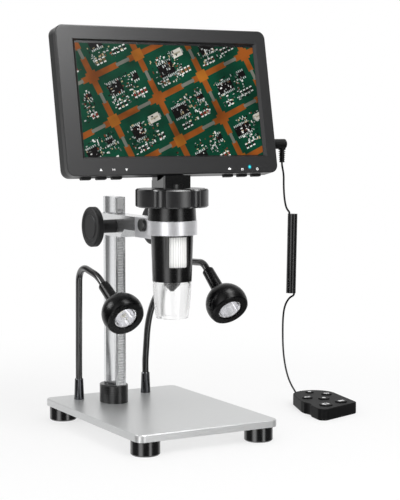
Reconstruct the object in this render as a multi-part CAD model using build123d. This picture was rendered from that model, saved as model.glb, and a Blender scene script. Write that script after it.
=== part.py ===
"""LCD digital microscope: a 7 inch monitor tilts on a focusing camera head, which rides a
rack-and-pinion stand with two gooseneck lamps, and a wired handset lies beside the base.

Frame: millimetres, +Z up, the user stands at -Y. The origin is on the floor, under the centre
of the base plate. Everything stands in its rest pose.
"""
from build123d import *
from math import acos, asin, cos, pi, radians, sin, sqrt, tan
import os

# ---------------------------------------------------------------- driving dimensions
RUN = 0.08            # running clearance, radial, of a shaft or slide
GAP = 0.3             # free gap between pieces that pass each other

# base
BASE_WIDTH = 120.0
BASE_DEPTH = 168.0
BASE_THICK = 5.5
BASE_CORNER_R = 6.0
BASE_EDGE = 0.6
FOOT_DIA = 22.0
FOOT_HEIGHT = 11.3
FOOT_INSET = 11.5
FOOT_EDGE = 1.0
FOOT_RECESS_DIA = 9.0
FOOT_RECESS_DEPTH = 5.0
SCREW_DIA = 3.0
SCREW_HEAD_DIA = 6.0
SCREW_HEAD_HEIGHT = 2.0
SCREW_BITE = 3.0
COLUMN_BOLT_DIA = 4.0
COLUMN_BOLT_SPACING = 12.0
COLUMN_BOLT_BITE = 12.0
COLUMN_BOLT_HEAD = 2.5

# column and rack
COLUMN_X = -16.0
COLUMN_Y = 43.0
COLUMN_WIDTH = 8.6
COLUMN_DEPTH = 22.0
COLUMN_HEIGHT = 165.6
COLUMN_EDGE = 0.7
GROOVE_WIDTH = 17.0
GROOVE_DEPTH = 1.5
GROOVE_FORWARD = 1.1
COLLAR_WIDTH = 21.7
COLLAR_DEPTH = 27.0
COLLAR_LEFT = 1.1      # the collar's axis left of the column's
COLLAR_HEIGHT = 14.5
COLLAR_RIB_HEIGHT = 8.0
COLLAR_RIBS = 5
COLLAR_EDGE = 0.5
COLLAR_SLACK = 0.05    # the bore's clearance to the column
COLLAR_RIB_DEPTH = 0.35
MODULE = 0.7
PRESSURE_ANGLE = 20.0
ADDENDUM = 0.85 * MODULE
DEDENDUM = 1.15 * MODULE
BACKLASH = 0.12
PINION_TEETH = 16
RACK_WIDTH = 5.0
RACK_THICK = 4.4
RACK_PLAIN_TOP = 8.5   # untoothed length at the rack's top

# carriage
CARRIAGE_WIDTH = 15.0
CARRIAGE_HEIGHT = 17.4
CARRIAGE_BACK_WALL = 3.0
CARRIAGE_TOP = 169.0
ARM_HEIGHT = 10.7
GUSSET_LENGTH = 7.0
CARRIAGE_EDGE = 1.2
PINION_ABOVE_BOTTOM = 8.3
CHAMBER_GAP = 0.3
CHAMBER_WALL = 3.0
PINION_FACE = 4.4
SHAFT_DIA = 5.0
LEFT_BUSH_DIA = 8.0
HUB_DIA = 10.4
HUB_LENGTH = 15.7
KNOB_DIA = 31.4
KNOB_THICK = 6.0
KNOB_DISH = 0.7
KNOB_DISH_DIA = 26.0
KNOB_BOSS_DIA = 18.0
KNOB_RIM = 0.9
KNOB_BACK_EDGE = 2.2   # the back's chamfer, radial
SHAFT_SHORT = 3.0      # the shaft's ends inside the knobs' faces

# clamp and head; the head's axis is HEAD_REACH in front of the column's
HEAD_REACH = 97.0
RING_DIA = 37.4
SHANK_DROP = 4.6       # how far the clamp's ears reach below the ring
SHANK_START = 51.0     # from the column's axis
TONGUE_WIDTH = 6.0
TONGUE_LENGTH = 20.0
CLAMP_SPLIT = 1.5
CLAMP_SCREW_DIA = 4.0
CLAMP_SCREW_IN = 14.9
CLAMP_HEAD_DIA = 9.8
CLAMP_HEAD_THICK = 3.0
CLAMP_FIT = 0.04       # between the clamp and what it holds
CLAMP_EDGE = 0.4
NECK_DIA = 31.3
SHELL_FLANGE_DIA = 36.2
SHELL_FLANGE_TOP_DIA = 35.2
SHELL_FLANGE_HEIGHT = 9.5
SHELL_TOP_DIA = 31.5
SHELL_BOTTOM_DIA = 29.3
SHELL_LENGTH = 34.6
WINDOW_AZIMUTH = -6.0
WINDOW_ARC = 62.0
WINDOW_HEIGHT = 22.5
WINDOW_BELOW_RING = 1.1
WINDOW_FRAME_ARC = 9.0
WINDOW_FRAME_DEPTH = 0.45
BARREL_SHOULDER = 0.6  # the shell's inner shoulder above the window
WHEEL_DIA = 54.2
WHEEL_HEIGHT = 13.6
WHEEL_LOBES = 6
WHEEL_LOBE_AZIMUTH = -18.0
WHEEL_VALLEY_R = 6.0
WHEEL_VALLEY_HALF = 10.3
WHEEL_EDGE = 1.0
BARREL_RIB_DIA = 26.6
BARREL_STEM_DIA = 24.8
BARREL_RIBS = 44
BARREL_RIB_DEPTH = 0.5
BARREL_RIB_CUT = 0.8
BARREL_BELOW_WINDOW = 2.2
BARREL_IN_WHEEL = 8.0
CORE_DIA = 19.6
CORE_WALL = 1.4
CORE_FLANGE_THICK = 2.5
CORE_FLANGE_UP = 2.2
CORE_IN_NECK = 3.0
CAM_PIN_DIA = 2.0
CAM_PIN_REACH = 11.2
CAM_PLAY = 0.15        # beside the pin, in the groove and the slot
CAM_LEAD = 6.0
CAM_TURN = 135.0
CAM_STEP = 5.0
CAM_HEIGHT = 16.4      # of the cam's middle above the shell's bottom
CELL_LENGTH = 23.0
CELL_WALL = 1.5
CELL_UP = 4.8          # the cell's lower shoulder above the shell's bottom
NOSE_DIA = 12.6
NOSE_STRAIGHT = 7.4
NOSE_TIP_DIA = 4.2
NOSE_TIP = 0.8
NOSE_WALL = 1.2
LENS_DIA = 6.0
LENS_THICK = 1.4
LENS_UP = 2.3
APERTURE_DIA = 2.4
REAR_LENS_THICK = 2.0
SENSOR_BELOW_TOP = 8.6
SENSOR_BOARD_THICK = 1.4
SENSOR_SIZE = 7.0
SENSOR_THICK = 1.2
LED_RING_DIA = 23.8
LED_RING_BORE = 14.4
LED_BOARD_THICK = 1.2
LED_COUNT = 8
LED_SIZE = 2.2
LED_THICK = 0.9
HOOD_TOP_DIA = 28.8
HOOD_BOTTOM_DIA = 24.0
HOOD_LENGTH = 27.6
HOOD_BULGE = 0.5
HOOD_WALL = 1.5
HOOD_SPIGOT = 2.2
HOOD_SHELF = 1.2       # thickness of the ring that joins skirt and spigot
HOOD_LIP = 0.5

# neck and monitor; monitor solids are drawn upright about the tilt axis and then leant back
NECK_WIDTH = 22.5
NECK_DEPTH = 20.2
NECK_EDGE = 0.8
NECK_BACK = 1.4        # the neck's middle behind the head's axis
TILT = 11.2
AXIS_Z = 224.5
AXIS_BACK = 6.05       # the tilt axis behind the head's axis
AXIS_DEPTH = 10.5      # behind the monitor's front face
AXIS_UP = 23.75        # above the monitor's bottom face
TONGUE_EYE_DIA = 9.6
NECK_TONGUE_DEPTH = 8.0
HINGE_PIN_DIA = 4.0
LUG_WIDTH = 4.0
MONITOR_DEPTH = 14.0
BEZEL_DEPTH = 5.0
MONITOR_CORNER_R = 6.0
MONITOR_EDGE = 0.9
MONITOR_WALL = 1.8
FRONT_WALL = 2.0
SCREEN_WIDTH = 154.2
SCREEN_HEIGHT = 87.0
FRAME_LEFT = 12.6      # the bezel's face beside the screen
FRAME_RIGHT = 8.7
FRAME_TOP = 10.1
FRAME_BOTTOM = 12.7
SCREEN_SUNK = 1.7
BEVEL_SIDE = 2.2       # the sloped edge of the screen's opening
BEVEL_END = 1.0
PANEL_MARGIN_X = 2.2
PANEL_MARGIN_TOP = 4.0
PANEL_MARGIN_BOTTOM = 2.5
PANEL_THICK = 3.3
BULGE_IN = 25.75       # the bulge's sides inside the monitor's
BULGE_HEIGHT = 68.0
BULGE_UP = 31.75
BULGE_DEPTH = 8.0
BULGE_EDGE = 3.0
VENT_COUNT = 9
VENT_LENGTH = 16.0
VENT_WIDTH = 1.6
VENT_PITCH = 4.2
BOARD_THICK = 1.6
BOARD_IN = 3.0         # the board's ends inside the bulge's sides
BOARD_HEIGHT = 58.0
BOARD_UP = 10.0        # above the tilt axis
BOARD_BEHIND_PANEL = 1.6
POST_DIA = 4.0
JACK_LENGTH = 12.0
JACK_HEIGHT = 6.0
JACK_BORE_DIA = 2.8
JACK_TAB_WIDTH = 24.0
BATTERY_WIDTH = 64.0
BATTERY_HEIGHT = 42.0
BATTERY_THICK = 6.0
CASE_SCREW_DIA = 2.0
CASE_SCREW_HEAD_DIA = 4.0
CASE_SCREW_HEAD = 1.2
CASE_SCREW_INSET = 5.0
CASE_BOSS_DIA = 5.0
KEY_WIDTH = 7.6
KEY_DEPTH = 3.6
KEY_STANDS = 1.7
KEY_TRAVEL = 0.5
KEY_FLANGE = 0.7
KEY_FLANGE_THICK = 0.8
KEY_PITCH = 12.3
KEYS_LEFT_IN = 29.15   # the left group's middle inside the monitor's side
KEYS_RIGHT_IN = 28.15
KEYS_PER_SIDE = 3
KEY_BEHIND_FRONT = 8.2
KEY_STEM_DIA = 2.4
KEY_EDGE = 0.4
KEY_HOLE_GAP = 0.15
KEY_REST_GAP = 0.1     # beyond its travel, between a key's stem and its switch
KEY_LIFT = 0.05        # of a key's flange off the wall it rests on
KEY_BOARD_LENGTH = 38.0
KEY_BOARD_THICK = 1.2
KEY_BOARD_UP = 5.2     # above the monitor's bottom face

# lamps
LAMPS_APART = 60.8
LAMPS_X = -7.3         # middle between the two ferrules
LAMPS_IN = 19.0        # the ferrules in front of the plate's rear edge
FERRULE_TOP_DIA = 6.9
FERRULE_BOTTOM_DIA = 8.2
FERRULE_HEIGHT = 17.0
FERRULE_STUD_DIA = 6.0
FERRULE_EDGE = 0.5
NECK_TUBE_DIA = 5.4
NECK_TUBE_UP = 2.2     # foot of the gooseneck above the base plate
LAMP_DIA = 31.4
LAMP_FACE = 6.8        # the lamp's front face ahead of its ball's middle
LAMP_WALL = 1.5
LAMP_EDGE = 0.6
LAMP_LEDGE = 0.7       # the lens's seat, radial
LAMP_LIP = 1.5         # the seat's thickness
LAMP_WIRE_R = 1.2      # the hole through the sleeve
THROAT_SPARE = 2.0     # degrees the sleeve's mouth opens beyond the lamp's tilt
SLEEVE_LENGTH = 35.5   # the sleeve's mouth behind the ball's middle
SLEEVE_MOUTH_DIA = 8.9
SLEEVE_ROOT_DIA = 9.7
SEAT_IN = 1.5          # the tilt pivot inside the sleeve's mouth
TILT_PIN_DIA = 1.4
TILT_PIN_SHORT = 0.7   # the pin's ends inside the sleeve's sides
SEAT_GAP = 0.2
LAMP_TILT = 20.0
LENS_RECESS = 0.5
LAMP_LENS_DIA = 18.4
LAMP_LENS_THICK = 1.6
LAMP_LENS_CROWN = 0.9
LAMP_LENS_BEVEL = 0.3
REFLECTOR_DEPTH = 9.5
REFLECTOR_WALL = 0.8
REFLECTOR_NECK_DIA = 5.0
LAMP_LED_DIA = 4.6
LAMP_LED_HEIGHT = 2.6
LEFT_LAMP_AT = (-50.5, -40.4, 99.9)
RIGHT_LAMP_AT = (20.0, -72.9, 106.2)
LEFT_LAMP_DIP = 29.5
RIGHT_LAMP_DIP = 38.5
LEFT_CROWN = (-50.5, 35.6, 130.2)
LEFT_LEAN_Z = 46.5
LEFT_RUN_IN = 15.0
RIGHT_RISE = 4.0       # straight tube above the right ferrule
RIGHT_LEAN = (22.8, 64.5, 44.0)
RIGHT_SHOULDER = (21.0, 55.5, 84.0)
RIGHT_CROWN = (20.0, 12.0, 132.0)
RIGHT_RUN_IN = 11.0
POWER_BOX_WIDTH = 66.0
POWER_BOX_DEPTH = 30.0
POWER_BOX_HEIGHT = 8.0
POWER_BOX_INSET = 3.0
POWER_BOX_EDGE = 0.8
INLET_DIA = 5.5
INLET_DEPTH = 9.0

# handset, on the floor to the right
HANDSET_HEIGHT = 9.6
HANDSET_PARTING = 4.8
HANDSET_WALL = 1.5
HANDSET_FLOOR = 1.2
HANDSET_TOP = 1.4
HANDSET_EDGE = 1.0
HANDSET_REAR = (162.9, 19.8)
HANDSET_REAR_R = 18.6
HANDSET_SIDE = (144.5, -3.0)
HANDSET_SIDE_R = 9.5
HANDSET_TOE = (135.0, -34.0)
HANDSET_TOE_R = 5.4
HANDSET_HEEL = (168.8, -23.2)
HANDSET_HEEL_R = 5.2
HANDSET_WAIST = (121.1, -11.7)
HANDSET_WAIST_R = 14.0
HANDSET_BOARD_Z = 4.4
HANDSET_BOARD_THICK = 1.2
HANDSET_BOARD_GAP = 0.2
HANDSET_LEDGE = 1.5    # width of the ledge under the board
HANDSET_BASE_EDGE = 0.6
HANDSET_KEY_STANDS = 0.9
HANDSET_STEM_DIA = 3.0
HANDSET_KEYS = (
    ("zoom_key", 162.5, 27.4, 7.0),
    ("menu_key", 147.4, 8.3, 9.0),
    ("record_key", 170.8, 13.9, 9.0),
    ("ok_key", 157.6, -1.4, 9.5),
    ("photo_key", 143.5, -24.8, 11.0),
    ("power_key", 162.4, -19.6, 10.0),
)

# cord of the handset; it and the handset are drawn for a plug outlet at OUTLET_DRAWN
OUTLET_DRAWN = (84.45, -47.95)
CORD_DIA = 1.5
PLUG_DIA = 7.8
PLUG_LENGTH = 15.0
PLUG_PIN_DIA = 2.5
PLUG_PIN_GAP = 0.6     # round the pin, in the rear shell's side
PLUG_EDGE = 0.5
PLUG_PIN_LENGTH = 11.0
RELIEF_TOP_DIA = 6.2
RELIEF_END_DIA = 4.0
RELIEF_LENGTH = 10.8
RELIEF_RIBS = 6
RELIEF_RIB = 0.75
RELIEF_IN = 2.6        # the relief's axis inside the plug's outer end
CORD_SLEEVE_DIA = 7.6
CORD_SLEEVE_TOP = (94.6, -48.0, 170.0)
CORD_SLEEVE_END = (93.4, -48.0, 107.7)
CORD_OFF_AXIS = 3.0
SLEEVE_LEAD = 1.4      # straight cord at each end of the sleeve
CORD_ENTRY = (158.6, 35.7, 5.2)
CORD_HOLE_GAP = 0.15
CORD_BAY = 16.0        # width of the notch in the handset's board for the cord's end
UPPER_ROUTE = (
    (84.8, -48.0, 206.6), (86.2, -48.0, 200.6), (86.1, -48.0, 192.0), (86.8, -48.0, 182.5),
    (88.3, -48.0, 175.6), (90.3, -48.0, 172.6),
)
LOWER_ROUTE = (
    (95.2, -48.0, 105.2), (92.8, -47.9, 104.4), (90.4, -47.4, 101.6), (89.0, -46.5, 98.0),
    (88.8, -44.8, 93.0), (91.2, -40.0, 85.0), (96.3, -32.0, 74.5), (103.3, -21.5, 62.9),
    (112.9, -8.0, 50.4), (125.3, 8.0, 36.6), (137.9, 23.0, 24.7), (148.6, 34.0, 15.5),
    (154.0, 38.3, 10.9), (156.6, 39.4, 7.6),
)

# ---------------------------------------------------------------- what follows from them
BASE_TOP = FOOT_HEIGHT + BASE_THICK
COLUMN_TOP = BASE_TOP + COLUMN_HEIGHT
LAMPS_Y = BASE_DEPTH / 2 - LAMPS_IN
COLUMN_FRONT = COLUMN_Y - COLUMN_DEPTH / 2
CARRIAGE_BOTTOM = CARRIAGE_TOP - CARRIAGE_HEIGHT
PITCH_R = PINION_TEETH * MODULE / 2
TIP_R = PITCH_R + ADDENDUM
ROOT_R = PITCH_R - DEDENDUM
CHAMBER_R = TIP_R + CHAMBER_GAP
PINION_Y = COLUMN_FRONT - (PITCH_R - ADDENDUM)
PINION_Z = CARRIAGE_BOTTOM + PINION_ABOVE_BOTTOM
CARRIAGE_FRONT = PINION_Y - CHAMBER_R - CHAMBER_WALL
CARRIAGE_BACK = COLUMN_Y + COLUMN_DEPTH / 2 + RUN + CARRIAGE_BACK_WALL
SIDE = CARRIAGE_WIDTH / 2
ARM_BOTTOM = CARRIAGE_TOP - ARM_HEIGHT
HEAD_Y = COLUMN_Y - HEAD_REACH
SHANK_BACK = COLUMN_Y - SHANK_START
CLAMP_SCREW_Y = SHANK_BACK - CLAMP_SCREW_IN
SHELL_NECK_BOTTOM = ARM_BOTTOM
SHELL_BOTTOM = SHELL_NECK_BOTTOM - SHELL_LENGTH
FLANGE_BOTTOM = CARRIAGE_TOP
FLANGE_TOP = FLANGE_BOTTOM + SHELL_FLANGE_HEIGHT
WHEEL_BOTTOM = FLANGE_TOP + GAP
WHEEL_TOP = WHEEL_BOTTOM + WHEEL_HEIGHT
NECK_BOTTOM = WHEEL_TOP + GAP
WINDOW_TOP = SHELL_NECK_BOTTOM - WINDOW_BELOW_RING
WINDOW_BOTTOM = WINDOW_TOP - WINDOW_HEIGHT
BARREL_BOTTOM = WINDOW_BOTTOM - BARREL_BELOW_WINDOW
BARREL_TOP = WHEEL_BOTTOM + BARREL_IN_WHEEL
CORE_BOTTOM = SHELL_BOTTOM + CORE_FLANGE_UP
CORE_TOP = NECK_BOTTOM + CORE_IN_NECK
CORE_BORE_R = CORE_DIA / 2 - CORE_WALL
CAM_Z = SHELL_BOTTOM + CAM_HEIGHT
CAM_RISE = CAM_LEAD * CAM_TURN / 360
AXIS_Y = HEAD_Y + AXIS_BACK
SHELL_BORE_R = BARREL_RIB_DIA / 2 + RUN * 2
MONITOR_WIDTH = SCREEN_WIDTH + FRAME_LEFT + FRAME_RIGHT
MONITOR_HEIGHT = SCREEN_HEIGHT + FRAME_TOP + FRAME_BOTTOM
SCREEN_RIGHT = (FRAME_LEFT - FRAME_RIGHT) / 2
BULGE_WIDTH = MONITOR_WIDTH - 2 * BULGE_IN
BOARD_WIDTH = BULGE_WIDTH - 2 * BOARD_IN
KEY_MIDDLES = (KEYS_LEFT_IN - MONITOR_WIDTH / 2, MONITOR_WIDTH / 2 - KEYS_RIGHT_IN)
SEAT_R = sqrt(AXIS_DEPTH**2 + AXIS_UP**2) + 2 * GAP
FRONT_Y = -AXIS_DEPTH
PARTING_Y = FRONT_Y + BEZEL_DEPTH
BACK_Y = FRONT_Y + MONITOR_DEPTH
MONITOR_BOTTOM = -AXIS_UP
MONITOR_TOP = MONITOR_BOTTOM + MONITOR_HEIGHT
INSIDE_BACK = BACK_Y - MONITOR_WALL
PANEL_BACK = FRONT_Y + FRONT_WALL + PANEL_THICK
BOARD_FRONT = PANEL_BACK + BOARD_BEHIND_PANEL
BOARD_BACK = BOARD_FRONT + BOARD_THICK
BULGE_BOTTOM = MONITOR_BOTTOM + BULGE_UP
BULGE_BACK = BACK_Y + BULGE_DEPTH
KEY_Y = FRONT_Y + KEY_BEHIND_FRONT
LAMP_R = LAMP_DIA / 2
TUBE_R = NECK_TUBE_DIA / 2
SEAT_BALL_R = TUBE_R + SEAT_GAP
MONITOR_AT = Pos(COLUMN_X, AXIS_Y, AXIS_Z) * Rot(-TILT, 0, 0)
HEAD_AT = Pos(COLUMN_X, HEAD_Y, 0)
PLUG_END_X = COLUMN_X + MONITOR_WIDTH / 2 + GAP + PLUG_LENGTH
RELIEF_X = PLUG_END_X - RELIEF_IN
CORD_AT = Pos(RELIEF_X - OUTLET_DRAWN[0], AXIS_Y - OUTLET_DRAWN[1], 0)
RELIEF_BOTTOM = AXIS_Z - PLUG_DIA / 2 - RELIEF_LENGTH + PLUG_EDGE


# ---------------------------------------------------------------- shapes
def block(x0, x1, y0, y1, z0, z1):
    """A box between two corners."""
    size = Box(x1 - x0, y1 - y0, z1 - z0)
    return Pos((x0 + x1) / 2, (y0 + y1) / 2, (z0 + z1) / 2) * size


def rod(start, end, radius, end_radius=None):
    """A round bar, or a cone with end_radius, between two points."""
    a, b = Vector(*start), Vector(*end)
    plane = Plane(origin=a, z_dir=b - a)
    length = (b - a).length
    if end_radius is None or abs(end_radius - radius) < 1e-6:
        return plane * Cylinder(radius, length, align=(Align.CENTER, Align.CENTER, Align.MIN))
    return plane * Cone(radius, end_radius, length, align=(Align.CENTER, Align.CENTER, Align.MIN))


def bar_z(x, y, z0, z1, radius):
    return rod((x, y, z0), (x, y, z1), radius)


def bar_x(x0, x1, y, z, radius):
    return rod((x0, y, z), (x1, y, z), radius)


def turned(*points):
    """A solid of revolution about Z from (radius, height) points."""
    outline = Polyline(*[(r, 0, z) for r, z in points], close=True)
    return revolve(make_face(outline), Axis.Z)


def ring(inner, outer, z0, z1):
    return turned((inner, z0), (outer, z0), (outer, z1), (inner, z1))


def sector(inner, outer, z0, z1, azimuth, arc):
    """Part of a ring, centred on azimuth: 0 faces -Y, and a negative one lies towards -X."""
    corners = [(inner, 0, z0), (outer, 0, z0), (outer, 0, z1), (inner, 0, z1)]
    piece = revolve(make_face(Polyline(*corners, close=True)), Axis.Z, arc)
    return Rot(0, 0, azimuth - 90 - arc / 2) * piece


def spun(shape, count, start=0.0):
    """count copies of a shape about Z."""
    return [Rot(0, 0, start + 360 * n / count) * shape for n in range(count)]


def corner_screws(width, depth, inset):
    """The four (x, y) places at an inset from the corners of a plate centred on the origin."""
    x, y = width / 2 - inset, depth / 2 - inset
    return [(-x, -y), (x, -y), (x, y), (-x, y)]


def route_radii(points):
    """The largest bend at each corner of a route: 0.45 of its shorter run."""
    radii = []
    for before, corner, after in zip(points, points[1:], points[2:]):
        a, b = Vector(*corner) - Vector(*before), Vector(*after) - Vector(*corner)
        half_turn = radians(a.get_angle(b)) / 2
        radii.append(0.45 * min(a.length, b.length) / tan(half_turn))
    return radii


def tube(points, radius):
    """A round tube along straight runs joined by tangent arcs."""
    path = FilletPolyline(*points, radius=route_radii(points))
    start = Vector(*points[0])
    section = Plane(origin=start, z_dir=Vector(*points[1]) - start) * Circle(radius)
    return sweep(section, path=path)


# ---------------------------------------------------------------- base and column
def base_plate():
    outline = RectangleRounded(BASE_WIDTH, BASE_DEPTH, BASE_CORNER_R)
    plate = Pos(0, 0, FOOT_HEIGHT) * extrude(outline, BASE_THICK)
    plate = chamfer(plate.edges().group_by(Axis.Z)[-1], BASE_EDGE)
    for x, y in corner_screws(BASE_WIDTH, BASE_DEPTH, FOOT_INSET):
        plate -= bar_z(x, y, FOOT_HEIGHT, FOOT_HEIGHT + SCREW_BITE, SCREW_DIA / 2)
    for y in column_bolt_places():
        plate -= bar_z(COLUMN_X, y, FOOT_HEIGHT, BASE_TOP, COLUMN_BOLT_DIA / 2)
        head = COLUMN_BOLT_DIA
        plate -= bar_z(COLUMN_X, y, FOOT_HEIGHT, FOOT_HEIGHT + COLUMN_BOLT_HEAD, head)
    for x in ferrule_places():
        plate -= bar_z(x, LAMPS_Y, FOOT_HEIGHT, BASE_TOP, FERRULE_STUD_DIA / 2)
    return plate


def rubber_feet():
    foot = bar_z(0, 0, 0, FOOT_HEIGHT, FOOT_DIA / 2)
    foot = chamfer(foot.edges().group_by(Axis.Z)[0], FOOT_EDGE)
    foot -= bar_z(0, 0, 0, FOOT_RECESS_DEPTH, FOOT_RECESS_DIA / 2)
    foot -= bar_z(0, 0, 0, FOOT_HEIGHT, SCREW_DIA / 2)
    return [Pos(x, y, 0) * foot for x, y in corner_screws(BASE_WIDTH, BASE_DEPTH, FOOT_INSET)]


def base_screws():
    """Four foot screws and the two bolts that hold the column down."""
    screw = bar_z(0, 0, FOOT_RECESS_DEPTH, FOOT_HEIGHT + SCREW_BITE, SCREW_DIA / 2)
    head_bottom = FOOT_RECESS_DEPTH - SCREW_HEAD_HEIGHT
    screw += bar_z(0, 0, head_bottom, FOOT_RECESS_DEPTH, SCREW_HEAD_DIA / 2)
    screws = [Pos(x, y, 0) * screw for x, y in corner_screws(BASE_WIDTH, BASE_DEPTH, FOOT_INSET)]
    bolt = bar_z(0, 0, FOOT_HEIGHT, BASE_TOP + COLUMN_BOLT_BITE, COLUMN_BOLT_DIA / 2)
    bolt += bar_z(0, 0, FOOT_HEIGHT, FOOT_HEIGHT + COLUMN_BOLT_HEAD, COLUMN_BOLT_DIA)
    return screws + [Pos(COLUMN_X, y, 0) * bolt for y in column_bolt_places()]


def column_bolt_places():
    middle = COLUMN_Y + RACK_THICK / 2
    return [middle - COLUMN_BOLT_SPACING / 2, middle + COLUMN_BOLT_SPACING / 2]


def column_outline(clearance):
    """The column's section, grown by a clearance all round: a bar with a hollow on each side."""
    width, depth = COLUMN_WIDTH / 2 + clearance, COLUMN_DEPTH / 2 + clearance
    outline = Rectangle(2 * width, 2 * depth)
    groove_r = (GROOVE_WIDTH**2 / 4 + GROOVE_DEPTH**2) / (2 * GROOVE_DEPTH)
    centre_x = COLUMN_WIDTH / 2 - GROOVE_DEPTH + groove_r
    for side in (-1, 1):
        outline -= Pos(side * centre_x, -GROOVE_FORWARD) * Circle(groove_r - clearance)
    return Pos(COLUMN_X, COLUMN_Y) * outline


def rack_slot(clearance):
    """Where the rack lies in the column's front face."""
    half = RACK_WIDTH / 2 + clearance
    y0, y1 = COLUMN_FRONT - 1, COLUMN_FRONT + RACK_THICK
    return block(COLUMN_X - half, COLUMN_X + half, y0, y1, BASE_TOP, COLUMN_TOP)


def column():
    bar = Pos(0, 0, BASE_TOP) * extrude(column_outline(0), COLUMN_HEIGHT)
    bar = chamfer(bar.edges().group_by(Axis.Z)[-1], COLUMN_EDGE / 2)
    bar -= rack_slot(0)
    for y in column_bolt_places():
        bar -= bar_z(COLUMN_X, y, BASE_TOP, BASE_TOP + COLUMN_BOLT_BITE, COLUMN_BOLT_DIA / 2)
    return bar


def rack_gap():
    """The space between two rack teeth, open to the front, about its own pitch point."""
    slope = tan(radians(PRESSURE_ANGLE))
    half = pi * MODULE / 4 + BACKLASH / 4
    inner = half - DEDENDUM * slope
    reach = ADDENDUM + 1
    outer = half + reach * slope
    corners = [(-reach, -outer), (DEDENDUM, -inner), (DEDENDUM, inner), (-reach, outer)]
    cut = make_face(Polyline(*corners, close=True))
    return Plane.YZ * extrude(cut, RACK_WIDTH, both=True)


def gear_rack():
    """A bar whose teeth point forward; one tooth stands at the pinion's height."""
    top = COLUMN_TOP - COLUMN_EDGE
    half = RACK_WIDTH / 2
    bar = block(
        COLUMN_X - half, COLUMN_X + half, COLUMN_FRONT, COLUMN_FRONT + RACK_THICK, BASE_TOP, top
    )
    pitch = pi * MODULE
    last = int((top - RACK_PLAIN_TOP - PINION_Z) / pitch)
    first = -int((PINION_Z - BASE_TOP - COLLAR_HEIGHT - pitch) / pitch)
    gap = rack_gap()
    gaps = [
        Pos(COLUMN_X, COLUMN_FRONT + ADDENDUM, PINION_Z + (n - 0.5) * pitch) * gap
        for n in range(first, last + 1)
    ]
    return bar - gaps


def column_collar():
    top = BASE_TOP + COLLAR_HEIGHT
    x = COLUMN_X - COLLAR_LEFT
    outline = Ellipse(COLLAR_WIDTH / 2, COLLAR_DEPTH / 2)
    collar = Pos(x, COLUMN_Y, BASE_TOP) * extrude(outline, COLLAR_HEIGHT)
    collar = chamfer(collar.edges().group_by(Axis.Z)[-1], COLLAR_EDGE)
    step = COLLAR_RIB_HEIGHT / COLLAR_RIBS
    kept = Ellipse(COLLAR_WIDTH / 2 - COLLAR_RIB_DEPTH, COLLAR_DEPTH / 2 - COLLAR_RIB_DEPTH)
    cut = extrude(Rectangle(COLLAR_DEPTH, 2 * COLLAR_DEPTH) - kept, step / 2)
    for n in range(COLLAR_RIBS):
        collar -= Pos(x, COLUMN_Y, top - (n + 0.85) * step) * cut
    slack = 2 * COLLAR_SLACK
    bore = Pos(COLUMN_X, COLUMN_Y) * Rectangle(COLUMN_WIDTH + slack, COLUMN_DEPTH + slack)
    return collar - Pos(0, 0, BASE_TOP) * extrude(bore, COLLAR_HEIGHT)


# ---------------------------------------------------------------- carriage, pinion and knobs
def pinion_outline():
    """Involute teeth, with one gap facing the rack at +Y, as a face in the YZ plane."""
    base_r = PITCH_R * cos(radians(PRESSURE_ANGLE))

    def half_angle(r):
        """Half of a tooth's angular thickness at radius r, on the involute."""
        roll = acos(min(1.0, base_r / r))
        involute = tan(roll) - roll
        at_pitch = tan(radians(PRESSURE_ANGLE)) - radians(PRESSURE_ANGLE)
        thick = pi / (2 * PINION_TEETH) - BACKLASH / (4 * PITCH_R)
        return thick + at_pitch - involute

    steps = 5
    radii = [base_r + (TIP_R - base_r) * n / steps for n in range(steps + 1)]
    flank = [(ROOT_R, half_angle(base_r))] + [(r, half_angle(r)) for r in radii]
    points = []
    for tooth in range(PINION_TEETH):
        middle = 2 * pi * (tooth + 0.5) / PINION_TEETH
        side = [(r, middle - a) for r, a in flank]
        side += [(r, middle + a) for r, a in reversed(flank)]
        points += [(r * cos(a), r * sin(a)) for r, a in side]
    return make_face(Polyline(*points, close=True))


def pinion_shaft():
    teeth = Plane.YZ * extrude(pinion_outline(), PINION_FACE / 2, both=True)
    shaft = Pos(COLUMN_X, PINION_Y, PINION_Z) * teeth
    reach = SIDE + HUB_LENGTH + KNOB_THICK - SHAFT_SHORT
    return shaft + bar_x(COLUMN_X - reach, COLUMN_X + reach, PINION_Y, PINION_Z, SHAFT_DIA / 2)


def knob(side):
    """A knob with its hub; side is -1 for the left one and 1 for the right one."""
    r, hub, rim = KNOB_DIA / 2, HUB_DIA / 2, KNOB_RIM
    top = HUB_LENGTH + KNOB_THICK
    outline = [
        (0, GAP), (hub, GAP), (hub, HUB_LENGTH - rim), (r - KNOB_BACK_EDGE, HUB_LENGTH),
        (r - 0.7 * rim, HUB_LENGTH + 0.7 * rim), (r, HUB_LENGTH + 1.4 * rim),
        (r, top - rim), (r - 0.4 * rim, top - 0.4 * rim), (r - rim, top),
        (KNOB_DISH_DIA / 2, top), (KNOB_DISH_DIA / 2 - KNOB_DISH, top - KNOB_DISH),
        (KNOB_BOSS_DIA / 2 + KNOB_DISH, top - KNOB_DISH),
        (KNOB_BOSS_DIA / 2, top - 0.3 * KNOB_DISH), (0, top - 0.3 * KNOB_DISH),
    ]
    body = turned(*outline) - bar_z(0, 0, 0, top - SHAFT_SHORT, SHAFT_DIA / 2)
    return Pos(COLUMN_X + side * SIDE, PINION_Y, PINION_Z) * Rot(0, side * 90, 0) * body


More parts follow.
